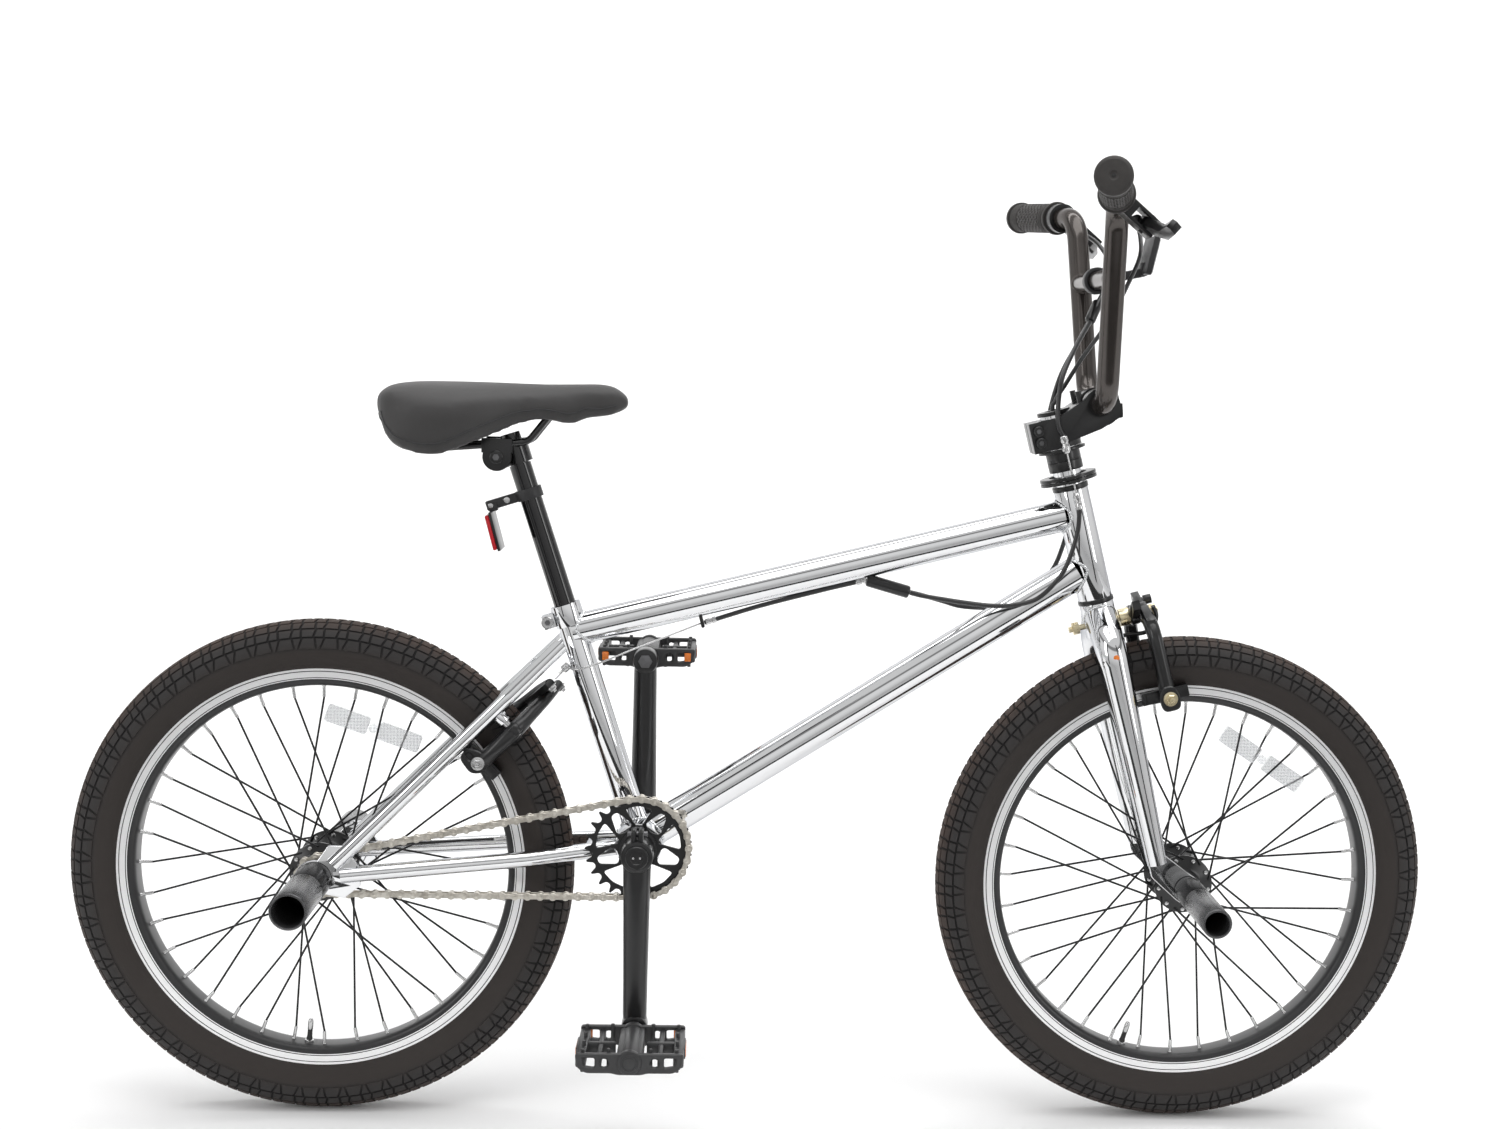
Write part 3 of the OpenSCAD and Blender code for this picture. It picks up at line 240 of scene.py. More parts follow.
def bevelled(points, faces, width, segments=2):
    bm = bmesh.new()
    verts = [bm.verts.new(p) for p in points]
    for f in faces:
        bm.faces.new([verts[i] for i in f])
    bmesh.ops.recalc_face_normals(bm, faces=bm.faces)
    sharp = [e for e in bm.edges if len(e.link_faces) == 2 and e.calc_face_angle() > 0.5]
    bmesh.ops.bevel(
        bm, geom=sharp, offset=width, segments=segments, profile=0.5, affect="EDGES", clamp_overlap=True
    )
    bm.verts.index_update()
    out = (
        np.array([v.co[:] for v in bm.verts]),
        [tuple(v.index for v in f.verts) for f in bm.faces],
    )
    bm.free()
    return out[0], out[1], np.zeros((len(out[0]), 2))


def block(centre, size, axes=None, edge=1.0):
    axes = np.eye(3) if axes is None else axes
    half = np.array(size, float) / 2
    points = [
        np.asarray(centre, float) + (np.array([x, y, z]) * half) @ axes
        for x in (-1, 1) for y in (-1, 1) for z in (-1, 1)
    ]
    faces = [(0, 1, 3, 2), (4, 6, 7, 5), (0, 4, 5, 1), (2, 3, 7, 6), (0, 2, 6, 4), (1, 5, 7, 3)]
    return bevelled(points, faces, min(edge, half.min() * 0.8))


def soften(outline, radius, steps=4):
    pts = [np.array(p, float) for p in outline]
    out = []
    for i, b in enumerate(pts):
        a, c = pts[i - 1], pts[(i + 1) % len(pts)]
        la, lc = np.linalg.norm(a - b), np.linalg.norm(c - b)
        cut = min(radius, la * 0.45, lc * 0.45)
        s, e = b + (a - b) / la * cut, b + (c - b) / lc * cut
        for k in range(steps + 1):
            t = k / steps
            out.append((1 - t) ** 2 * s + 2 * t * (1 - t) * b + t * t * e)
    return np.array(out)


def circle(centre, r, n=28):
    a = np.linspace(0, 2 * math.pi, n, endpoint=False)
    return np.column_stack([centre[0] + r * np.cos(a), centre[1] + r * np.sin(a)])


def area(loop):
    x, y = loop[:, 0], loop[:, 1]
    return 0.5 * float(np.sum(x * np.roll(y, -1) - np.roll(x, -1) * y))


def plate(outline, holes, low, high, origin, axes, edge=0.4):
    """A flat plate: outline in the first two axes, thickness along the third."""
    loops = []
    for k, loop in enumerate([outline] + list(holes)):
        loop = np.asarray(loop, float)
        if (area(loop) > 0) != (k == 0):
            loop = loop[::-1]
        loops.append(loop)
    e = min(edge, (high - low) * 0.4)
    points, faces, starts = [], [], []
    for loop in loops:
        n = len(loop)
        d = np.roll(loop, -1, 0) - loop
        d = d / np.maximum(np.linalg.norm(d, axis=1), 1e-9)[:, None]
        normal = np.column_stack([-d[:, 1], d[:, 0]])
        mean = normal + np.roll(normal, 1, 0)
        mean = mean / np.maximum(np.linalg.norm(mean, axis=1), 0.35)[:, None]
        inner = loop + mean * e
        start = len(points)
        starts.append((start, n))
        for ring, h in ((inner, low), (loop, low + e), (loop, high - e), (inner, high)):
            points += [np.array([x, y, h]) for x, y in ring]
        for j in range(3):
            for k in range(n):
                a, b = start + j * n, start + (j + 1) * n
                faces.append((a + k, a + (k + 1) % n, b + (k + 1) % n, b + k))
    for level in (0, 3):
        index, poly = [], []
        for (start, n) in starts:
            ids = list(range(start + level * n, start + (level + 1) * n))
            index += ids
            poly.append([Vector((points[i][0], points[i][1], 0)) for i in ids])
        for tri in tessellate_polygon(poly):
            tri = [index[i] for i in tri]
            a, b, c = (points[i][:2] for i in tri)
            up = (b[0] - a[0]) * (c[1] - a[1]) - (b[1] - a[1]) * (c[0] - a[0]) > 0
            faces.append(tuple(tri if up == (level == 3) else tri[::-1]))
    points = np.asarray(origin, float) + np.array(points) @ np.asarray(axes, float)
    return points, faces, np.zeros((len(points), 2))


def mirrored(shape):
    points, faces, uv = shape
    return points * [1, -1, 1], [tuple(reversed(f)) for f in faces], uv


def both(shape):
    return [shape, mirrored(shape)]


def joined(shapes):
    points, faces, uv, start = [], [], [], 0
    for p, f, t in shapes:
        points.append(p)
        uv.append(t)
        faces += [tuple(i + start for i in q) for q in f]
        start += len(p)
    return np.concatenate(points), faces, np.concatenate(uv)


def weld_bead(p, direction, r, q, axis, big_r, size=1.7, reach=None):
    """The bead where a tube of radius r that starts at p and runs along direction leaves a tube of radius big_r."""
    d, e = unit(direction), unit(axis)
    a = unit(np.cross(d, e) if np.linalg.norm(np.cross(d, e)) > 0.1 else np.cross(d, [0, 1, 0]))
    b = np.cross(d, a)
    path = []
    count = 144
    for k in range(count):
        t = 2 * math.pi * k / count
        s = np.asarray(p, float) + r * (math.cos(t) * a + math.sin(t) * b) - q
        s_flat, d_flat = s - e * (s @ e), d - e * (d @ e)
        aa, bb_, cc = d_flat @ d_flat, 2 * s_flat @ d_flat, s_flat @ s_flat - big_r ** 2
        disc = max(bb_ * bb_ - 4 * aa * cc, 0)
        path.append(q + s + d * (-bb_ + math.sqrt(disc)) / (2 * aa))
    ripple = size * (1 + 0.16 * np.cos(np.arange(count) * 2 * math.pi / 4))
    return sweep(path, ripple, 10, closed=True)


# ---------------------------------------------------------------- materials


def new_material(name):
    m = bpy.data.materials.new(name)
    m.use_nodes = True
    return m, m.node_tree.nodes, m.node_tree.links, m.node_tree.nodes["Principled BSDF"]


def node(nodes, kind, **values):
    n = nodes.new(kind)
    for key, value in values.items():
        if key in n.inputs:
            n.inputs[key].default_value = value
        else:
            setattr(n, key, value)
    return n


def finish_material(name, colour, rough, metal=0.0, vary=0.12, scale=45.0, grain=900.0, bump=0.05,
                    coat=0.0, rough_vary=0.06, tint=None, pattern="noise", depth=0.0002):
    m, nodes, links, shader = new_material(name)
    shader.inputs["Metallic"].default_value = metal
    shader.inputs["Coat Weight"].default_value = coat
    shader.inputs["Coat Roughness"].default_value = 0.12
    at = node(nodes, "ShaderNodeTexCoord")
    cloud = node(nodes, "ShaderNodeTexNoise", Scale=scale, Detail=5.0, Roughness=0.6)
    links.new(at.outputs["Object"], cloud.inputs["Vector"])
    ramp = node(nodes, "ShaderNodeValToRGB")
    dark = [c * (1 - vary) for c in colour]
    light = [min(1, c * (1 + vary)) for c in (tint or colour)]
    ramp.color_ramp.elements[0].position = 0.35
    ramp.color_ramp.elements[1].position = 0.68
    ramp.color_ramp.elements[0].color = (*dark, 1)
    ramp.color_ramp.elements[1].color = (*light, 1)
    links.new(cloud.outputs["Fac"], ramp.inputs["Fac"])
    links.new(ramp.outputs["Color"], shader.inputs["Base Color"])
    spread = node(nodes, "ShaderNodeMapRange")
    spread.inputs["To Min"].default_value = max(rough - rough_vary, 0.01)
    spread.inputs["To Max"].default_value = rough + rough_vary
    links.new(cloud.outputs["Fac"], spread.inputs["Value"])
    links.new(spread.outputs["Result"], shader.inputs["Roughness"])
    if pattern == "voronoi":
        fine = node(nodes, "ShaderNodeTexVoronoi", Scale=grain)
        height = fine.outputs["Distance"]
    else:
        fine = node(nodes, "ShaderNodeTexNoise", Scale=grain, Detail=3.0)
        height = fine.outputs["Fac"]
    links.new(at.outputs["Object"], fine.inputs["Vector"])
    relief = node(nodes, "ShaderNodeBump", Strength=bump, Distance=depth)
    links.new(height, relief.inputs["Height"])
    links.new(relief.outputs["Normal"], shader.inputs["Normal"])
    return m


def uv_rows(nodes, links, axis):
    """Socket with one uv coordinate in millimetres."""
    at = node(nodes, "ShaderNodeUVMap", uv_map="uv")
    split = node(nodes, "ShaderNodeSeparateXYZ")
    links.new(at.outputs["UV"], split.inputs["Vector"])
    return split.outputs[axis]


def math_node(nodes, links, operation, a, b=None):
    n = node(nodes, "ShaderNodeMath", operation=operation)
    for socket, value in zip(n.inputs, (a, b)):
        if value is None:
            continue
        if isinstance(value, (int, float)):
            socket.default_value = value
        else:
            links.new(value, socket)
    return n.outputs[0]


CHROME = finish_material("chrome", (0.82, 0.825, 0.835), 0.045, 1.0, vary=0.02, scale=9, grain=18, bump=0.02,
                         rough_vary=0.015, depth=0.0006)
CHROME.node_tree.nodes["Principled BSDF"].inputs["Specular Tint"].default_value = (0.42, 0.43, 0.45, 1)
WELD = finish_material("weld_chrome", (0.72, 0.73, 0.74), 0.16, 1.0, vary=0.08, scale=200, grain=900, bump=0.3)
SATIN = finish_material("satin_black", (0.008, 0.008, 0.0085), 0.3, 0.0, vary=0.1, scale=60, grain=1400,
                        bump=0.03, coat=0.15, rough_vary=0.02)
GLOSS = finish_material("gloss_black", (0.004, 0.004, 0.0045), 0.1, 0.0, vary=0.1, scale=30, grain=500,
                        bump=0.02, coat=0.4, rough_vary=0.02)
BAR = finish_material("bar_paint", (0.075, 0.066, 0.061), 0.2, 0.7, vary=0.1, scale=30, grain=700,
                      bump=0.03, coat=0.5, rough_vary=0.03)
BAR.node_tree.nodes["Principled BSDF"].inputs["Specular Tint"].default_value = (0.3, 0.28, 0.27, 1)
PLASTIC = finish_material("black_plastic", (0.022, 0.022, 0.023), 0.45, 0.0, vary=0.15, scale=80, grain=2200,
                          bump=0.25)
PEDAL = finish_material("pedal_plastic", (0.032, 0.032, 0.033), 0.42, 0.0, vary=0.2, scale=60, grain=1800,
                        bump=0.3)
STEEL = finish_material("bright_steel", (0.62, 0.62, 0.62), 0.24, 1.0, vary=0.12, scale=120, grain=1500, bump=0.1)
DARK_STEEL = finish_material("dark_steel", (0.16, 0.16, 0.165), 0.38, 0.9, vary=0.2, scale=90, grain=1500, bump=0.15)
BRASS = finish_material("gold_plate", (0.72, 0.6, 0.36), 0.28, 1.0, vary=0.15, scale=90, grain=1400, bump=0.1,
                        tint=(0.78, 0.7, 0.5))
CHAIN = finish_material("chain_plate", (0.6, 0.56, 0.49), 0.32, 0.9, vary=0.14, scale=160, grain=1500, bump=0.1,
                        tint=(0.7, 0.67, 0.61))
HOUSING = finish_material("cable_housing", (0.018, 0.018, 0.019), 0.3, 0.0, vary=0.15, scale=120, grain=1600,
                          bump=0.06, coat=0.3)
GRIP = finish_material("grip_rubber", (0.036, 0.0325, 0.0305), 0.58, 0.0, vary=0.16, scale=90, grain=2500, bump=0.3)
COVER = finish_material("saddle_cover", (0.037, 0.0355, 0.0355), 0.52, 0.0, vary=0.1, scale=25, grain=1500, bump=0.35,
                        pattern="voronoi", depth=0.0003)
STITCH = finish_material("saddle_thread", (0.03, 0.03, 0.032), 0.7, 0.0, vary=0.1, scale=300, grain=3000, bump=0.4)
SPOKE = finish_material("black_spoke", (0.02, 0.02, 0.021), 0.3, 0.6, vary=0.2, scale=60, grain=1500, bump=0.05)
TUBE = finish_material("tube_rubber", (0.02, 0.02, 0.02), 0.6, vary=0.15, scale=60, grain=1500, bump=0.2)
ORANGE = finish_material("orange_lens", (0.8, 0.2, 0.02), 0.2, 0.0, vary=0.1, scale=300, grain=700, bump=0.5,
                         coat=0.6, pattern="voronoi", depth=0.0006)


def tyre_material():
    """Rubber: uv x is 1 on the tops of the blocks and 0 in the grooves, uv y is the radius in millimetres. Away from
    the block tops the colour carries painted shade, darkening the grooves and casing towards the crown.
    """
    m, nodes, links, shader = new_material("tyre_rubber")
    top, r = uv_rows(nodes, links, "X"), uv_rows(nodes, links, "Y")
    at = node(nodes, "ShaderNodeTexCoord")
    cloud = node(nodes, "ShaderNodeTexNoise", Scale=26.0, Detail=8.0, Roughness=0.7)
    links.new(at.outputs["Object"], cloud.inputs["Vector"])
    edge = node(nodes, "ShaderNodeMapRange")
    links.new(r, edge.inputs["Value"])
    edge.inputs["From Min"].default_value = 243
    edge.inputs["From Max"].default_value = 254
    amount = math_node(nodes, links, "MULTIPLY", edge.outputs["Result"], cloud.outputs["Fac"])
    amount = math_node(nodes, links, "MULTIPLY", amount, 1.3)
    colours = node(nodes, "ShaderNodeMix", data_type="RGBA")
    colours.inputs[6].default_value = (0.034, 0.0315, 0.031, 1)
    colours.inputs[7].default_value = (0.075, 0.046, 0.034, 1)
    links.new(amount, colours.inputs[0])
    wall = node(nodes, "ShaderNodeMapRange")
    links.new(r, wall.inputs["Value"])
    wall.inputs["From Min"].default_value = 232
    wall.inputs["From Max"].default_value = 222
    low = node(nodes, "ShaderNodeMix", data_type="RGBA")
    low.inputs[7].default_value = (0.034, 0.0285, 0.026, 1)
    links.new(wall.outputs["Result"], low.inputs[0])
    links.new(colours.outputs[2], low.inputs[6])
    # painted shade: everything but the block tops (uv x 0) darkens towards near black from a radius of 224 mm outwards,
    # so the grooves between the blocks read as shaded
    groove = node(nodes, "ShaderNodeMapRange")
    links.new(r, groove.inputs["Value"])
    groove.inputs["From Min"].default_value = 224
    groove.inputs["From Max"].default_value = 237
    groove.inputs["To Max"].default_value = 0.92
    depth = math_node(nodes, links, "SUBTRACT", 1.0, top)
    depth = math_node(nodes, links, "MULTIPLY", depth, groove.outputs["Result"])
    dark = node(nodes, "ShaderNodeMix", data_type="RGBA")
    dark.inputs[7].default_value = (0.005, 0.0045, 0.0045, 1)
    links.new(depth, dark.inputs[0])
    links.new(low.outputs[2], dark.inputs[6])
    links.new(dark.outputs[2], shader.inputs["Base Color"])
    shader.inputs["Roughness"].default_value = 0.66
    shader.inputs["Specular IOR Level"].default_value = 0.28
    fine = node(nodes, "ShaderNodeTexNoise", Scale=900.0, Detail=4.0)
    links.new(at.outputs["Object"], fine.inputs["Vector"])
    rows = math_node(nodes, links, "SINE", math_node(nodes, links, "MULTIPLY", r, 2.2))
    rows = math_node(nodes, links, "MULTIPLY", rows, 0.12)
    height = math_node(nodes, links, "ADD", fine.outputs["Fac"], rows)
    relief = node(nodes, "ShaderNodeBump", Strength=0.35, Distance=0.0003)
    links.new(height, relief.inputs["Height"])
    links.new(relief.outputs["Normal"], shader.inputs["Normal"])
    return m


def rim_material():
    """Bright turned brake track on the outside, black anodised below it, with a thin dark groove."""
    m, nodes, links, shader = new_material("rim_alloy")
    r = uv_rows(nodes, links, "Y")
    track = math_node(nodes, links, "GREATER_THAN", r, 194.6)
    groove = math_node(nodes, links, "SUBTRACT", r, 202.6)
    groove = math_node(nodes, links, "ABSOLUTE", groove)
    groove = math_node(nodes, links, "GREATER_THAN", groove, 0.42)
    edge = math_node(nodes, links, "ABSOLUTE", math_node(nodes, links, "SUBTRACT", r, 196.0))
    edge = math_node(nodes, links, "GREATER_THAN", edge, 0.4)
    bright = math_node(nodes, links, "MULTIPLY", track, math_node(nodes, links, "MULTIPLY", groove, edge))
    mix = node(nodes, "ShaderNodeMix", data_type="RGBA")
    mix.inputs[6].default_value = (0.022, 0.022, 0.023, 1)
    mix.inputs[7].default_value = (0.93, 0.93, 0.935, 1)
    links.new(bright, mix.inputs[0])
    links.new(mix.outputs[2], shader.inputs["Base Color"])
    metal = math_node(nodes, links, "MULTIPLY", bright, 0.55)
    links.new(metal, shader.inputs["Metallic"])
    fine = node(nodes, "ShaderNodeTexNoise", Scale=1.0, Detail=2.0)
    fine.noise_dimensions = "1D"
    links.new(math_node(nodes, links, "MULTIPLY", r, 9.0), fine.inputs["W"])
    rough = node(nodes, "ShaderNodeMapRange")
    rough.inputs["To Min"].default_value = 0.24
    rough.inputs["To Max"].default_value = 0.42
    links.new(fine.outputs["Fac"], rough.inputs["Value"])
    links.new(rough.outputs["Result"], shader.inputs["Roughness"])
    relief = node(nodes, "ShaderNodeBump", Strength=0.12, Distance=0.0002)
    links.new(fine.outputs["Fac"], relief.inputs["Height"])
    links.new(relief.outputs["Normal"], shader.inputs["Normal"])
    return m


def knurl_material():
    """Peg steel: a fine diamond knurl over the outer half, smooth black inside it."""
    m, nodes, links, shader = new_material("peg_metal")
    at = node(nodes, "ShaderNodeUVMap", uv_map="uv")
    split = node(nodes, "ShaderNodeSeparateXYZ")
    links.new(at.outputs["UV"], split.inputs["Vector"])
    u, v = split.outputs["X"], split.outputs["Y"]
    a = math_node(nodes, links, "SINE", math_node(nodes, links, "MULTIPLY", math_node(nodes, links, "ADD", u, v), 3.2))
    b = math_node(nodes, links, "SINE", math_node(nodes, links, "MULTIPLY", math_node(nodes, links, "SUBTRACT", u, v), 3.2))
    pattern = math_node(nodes, links, "MULTIPLY", a, b)
    outer = math_node(nodes, links, "GREATER_THAN", u, 62.0)
    pattern = math_node(nodes, links, "MULTIPLY", pattern, outer)
    cloud = node(nodes, "ShaderNodeTexNoise", Scale=50.0, Detail=4.0)
    where = node(nodes, "ShaderNodeTexCoord")
    links.new(where.outputs["Object"], cloud.inputs["Vector"])
    shade = math_node(nodes, links, "MULTIPLY", cloud.outputs["Fac"], outer)
    mix = node(nodes, "ShaderNodeMix", data_type="RGBA")
    mix.inputs[6].default_value = (0.016, 0.016, 0.017, 1)
    mix.inputs[7].default_value = (0.2, 0.2, 0.205, 1)
    links.new(shade, mix.inputs[0])
    links.new(mix.outputs[2], shader.inputs["Base Color"])
    shader.inputs["Metallic"].default_value = 0.8
    shader.inputs["Roughness"].default_value = 0.24
    relief = node(nodes, "ShaderNodeBump", Strength=0.12, Distance=0.0003)
    links.new(pattern, relief.inputs["Height"])
    links.new(relief.outputs["Normal"], shader.inputs["Normal"])
    return m


def lens_material(name, colour, transmission, rough=0.12, scale=420.0, ior=1.45):
    m, nodes, links, shader = new_material(name)
    at = node(nodes, "ShaderNodeTexCoord")
    cells = node(nodes, "ShaderNodeTexVoronoi", Scale=scale)
    cells.inputs["Randomness"].default_value = 0.0
    links.new(at.outputs["Object"], cells.inputs["Vector"])
    ramp = node(nodes, "ShaderNodeValToRGB")
    ramp.color_ramp.elements[0].color = (*[c * 0.72 for c in colour], 1)
    ramp.color_ramp.elements[1].color = (*colour, 1)
    ramp.color_ramp.elements[1].position = 0.6
    links.new(cells.outputs["Distance"], ramp.inputs["Fac"])
    links.new(ramp.outputs["Color"], shader.inputs["Base Color"])
    shader.inputs["Transmission Weight"].default_value = transmission
    shader.inputs["Roughness"].default_value = rough
    shader.inputs["IOR"].default_value = ior
    relief = node(nodes, "ShaderNodeBump", Strength=0.6, Distance=0.0008)
    links.new(cells.outputs["Distance"], relief.inputs["Height"])
    links.new(relief.outputs["Normal"], shader.inputs["Normal"])
    return m


TYRE = tyre_material()
RIM = rim_material()
KNURL = knurl_material()
WHITE_LENS = lens_material("white_lens", (0.86, 0.87, 0.88), 0.35)
CLEAR_LENS = lens_material("clear_lens", (0.97, 0.975, 0.98), 0.95, 0.05, 300.0, 1.12)
DOTTED_LENS = lens_material("dotted_lens", (0.95, 0.955, 0.96), 0.85, 0.1, 300.0, 1.15)
RED_LENS = lens_material("red_lens", (0.62, 0.02, 0.03), 0.25)

# ---------------------------------------------------------------- pieces


def piece(name, like, parts, replaces=True, sharp=38):
    """One object from (shape, material) parts; it rides on the body of CAD node `like`, which it replaces."""
    points, faces, uv, index, materials = [], [], [], [], []
    start = 0
    for shape, mat in parts:
        p, f, t = shape
        if mat not in materials:
            materials.append(mat)
        points.append(p)
        uv.append(t)
        faces += [tuple(i + start for i in q) for q in f]
        index += [materials.index(mat)] * len(f)
        start += len(p)
    points = np.concatenate(points) * MM
    uv = np.concatenate(uv)
    mesh = bpy.data.meshes.new(name)
    mesh.from_pydata([tuple(p) for p in points], [], faces)
    for mat in materials:
        mesh.materials.append(mat)
    mesh.polygons.foreach_set("material_index", index)
    layer = mesh.uv_layers.new(name="uv")
    loops = np.zeros(len(mesh.loops), np.int32)
    mesh.loops.foreach_get("vertex_index", loops)
    layer.data.foreach_set("uv", uv[loops].astype(np.float32).ravel())
    mesh.validate()
    bm = bmesh.new()
    bm.from_mesh(mesh)
    bmesh.ops.recalc_face_normals(bm, faces=bm.faces)
    bm.to_mesh(mesh)
    bm.free()
    mesh.shade_smooth()
    mesh.set_sharp_from_angle(angle=math.radians(sharp))
    obj = bpy.data.objects.new(name, mesh)
    bpy.context.scene.collection.objects.link(obj)
    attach(obj, NODES[like]["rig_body"])
    if replaces is True:
        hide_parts(like)
    elif replaces:
        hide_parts(*replaces)
    return obj


def refined(name, like, chooser, width=0.5):
    """A copy of a CAD node with its flat faces joined up and every sharp edge rounded."""
    bm = bmesh.new()
    bm.from_mesh(NODES[like].data)
    bmesh.ops.remove_doubles(bm, verts=bm.verts, dist=2e-6)
    bmesh.ops.dissolve_limit(bm, angle_limit=math.radians(1.0), verts=bm.verts, edges=bm.edges)
    bmesh.ops.recalc_face_normals(bm, faces=bm.faces)
    sharp = [e for e in bm.edges if len(e.link_faces) == 2 and e.calc_face_angle() > math.radians(38)]
    bmesh.ops.bevel(
        bm, geom=sharp, offset=width * MM, segments=2, profile=0.6, affect="EDGES", clamp_overlap=True
    )
    mesh = bpy.data.meshes.new(name)
    materials = []
    for f in bm.faces:
        mat = chooser
        if mat not in materials:
            materials.append(mat)
        f.material_index = materials.index(mat)
        f.smooth = True
    bm.to_mesh(mesh)
    bm.free()
    for mat in materials:
        mesh.materials.append(mat)
    mesh.set_sharp_from_angle(angle=math.radians(30))
    obj = bpy.data.objects.new(name, mesh)
    bpy.context.scene.collection.objects.link(obj)
    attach(obj, NODES[like]["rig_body"])
    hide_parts(like)
    return obj


# ---------------------------------------------------------------- frame
TOP_A, TOP_B = post(226), steer(0, 0, 397)
DOWN_A, DOWN_B = BB + vec(2, 0, 2), steer(0, 0, 341)
TOP_R, DOWN_R, HEAD_R, SEAT_R, SHELL_R, STAY_R = 15.9, 17.0, 17.5, 13.5, 23.5, 8.0

piece("head_tube_shell", "head_tube", [
    (sleeve(steer(0, 0, 307), steer(0, 0, 422), HEAD_R, 15.9, 0.8, 96), CHROME),
])
piece("top_tube_shell", "top_tube", [
    (sweep([TOP_A, TOP_B + unit(TOP_A - TOP_B) * 13], TOP_R, 96, caps=False), CHROME),
    (weld_bead(TOP_B, TOP_A - TOP_B, TOP_R, FOOT, HEAD_AXIS, HEAD_R), WELD),
    (weld_bead(TOP_A, TOP_B - TOP_A, TOP_R - 0.6, BB, POST_AXIS, SEAT_R + 2.5, 1.6), WELD),
    (block((-60.8, 0, 514.0), (3.6, 10, 15), Matrix.Rotation(math.radians(15), 3, "Y"), 1.2), SATIN),
])
piece("down_tube_shell", "down_tube", [
    (sweep([DOWN_A, DOWN_B + unit(DOWN_A - DOWN_B) * 13], DOWN_R, 96, caps=False), CHROME),
    (weld_bead(DOWN_B, DOWN_A - DOWN_B, DOWN_R - 0.05, FOOT, HEAD_AXIS, HEAD_R), WELD),
    (weld_bead(DOWN_A, DOWN_B - DOWN_A, DOWN_R, BB, vec(0, 1, 0), SHELL_R), WELD),
])
piece("seat_tube_shell", "seat_tube", [
    (sleeve(post(18), post(254), SEAT_R, 11.3, 0.5, 72), CHROME),
    (weld_bead(post(10), POST_AXIS, SEAT_R, BB, vec(0, 1, 0), SHELL_R, 1.6), WELD),
])
piece("bottom_bracket_barrel", "bottom_bracket_shell", [
    (sleeve(BB - vec(0, 36.5, 0), BB + vec(0, 36.5, 0), SHELL_R, 20.5, 1.0, 96), CHROME),
])

low_dir = unit(vec(REAR_X, 0, AXLE_Z) - BB)
low_corners = [BB + low_dir * 20 + vec(0, 21, -2), BB + low_dir * 110 + vec(0, 41.5, -2),
               BB + low_dir * 296 + vec(0, 57.5, 1)]
piece("chain_stay_tubes", "chain_stays", [
    (s, CHROME) for s in both(sweep(rounded(low_corners, 60), STAY_R, 48))
] + [
    (rod(BB + low_dir * 50 + vec(0, -31, -2), BB + low_dir * 50 + vec(0, 31, -2), 6), CHROME),
] + [
    (s, WELD) for s in both(weld_bead(low_corners[0], low_corners[1] - low_corners[0], STAY_R, BB,
                                      vec(0, 1, 0), SHELL_R, 1.4))
])
high_corners = [stay(3, 57.5, 24), stay(3, 40, 262), stay(3, 23, 336)]
piece("seat_stay_tubes", "seat_stays", [
    (s, CHROME) for s in both(sweep(rounded(high_corners, 60), STAY_R, 48))
] + [
    (rod(stay(3, -29, 296), stay(3, 29, 296), 6.5), CHROME),
] + [
    (s, WELD) for s in both(weld_bead(stay(3, 30, 296), vec(0, -1, 0), 6.5, high_corners[1],
                                      high_corners[2] - high_corners[1], STAY_R, 1.2))
] + [
    (s, CHROME) for s in both(rod(stay(5, 38, 243), stay(19.4, 38, 243), 7))
] + [
    (s, STEEL) for s in both(rod(stay(5, 38, 243), stay(40, 38, 243), 4))
])
refined("dropout_plates", "rear_dropouts", CHROME, 0.8)
refined("headset_cup_rings", "headset_cups", SATIN, 0.5)
refined("bracket_bearings", "bottom_bracket_bearings", DARK_STEEL, 0.4)
refined("seat_binder", "seat_binder_bolt", CHROME, 0.6)
post_x = vec(math.cos(LEAN), 0, math.sin(LEAN))
binder = post(242) - post_x * 21
piece("binder_bolt_ends", "seat_binder_bolt", [
    (lathe(ring, binder + vec(0, y * 13, 0), (0, y, 0), sides), mat)
    for y in (-1, 1)
    for ring, sides, mat in (([(6.3, -3.6), (6.3, 0.6), (5.4, 1.6), (3.3, 1.6), (3.2, 0.6)], 36, STEEL),
                             ([(3.1, 0.5), (2.9, 0.9), (2.2, 0.9)], 6, DARK_STEEL))
], replaces=False)
refined("rear_axle_set", "rear_axle", DARK_STEEL, 0.5)


# ---------------------------------------------------------------- wheels


def wheel_point(cx, r, a, y):
    return vec(cx + r * math.cos(a), y, AXLE_Z + r * math.sin(a))


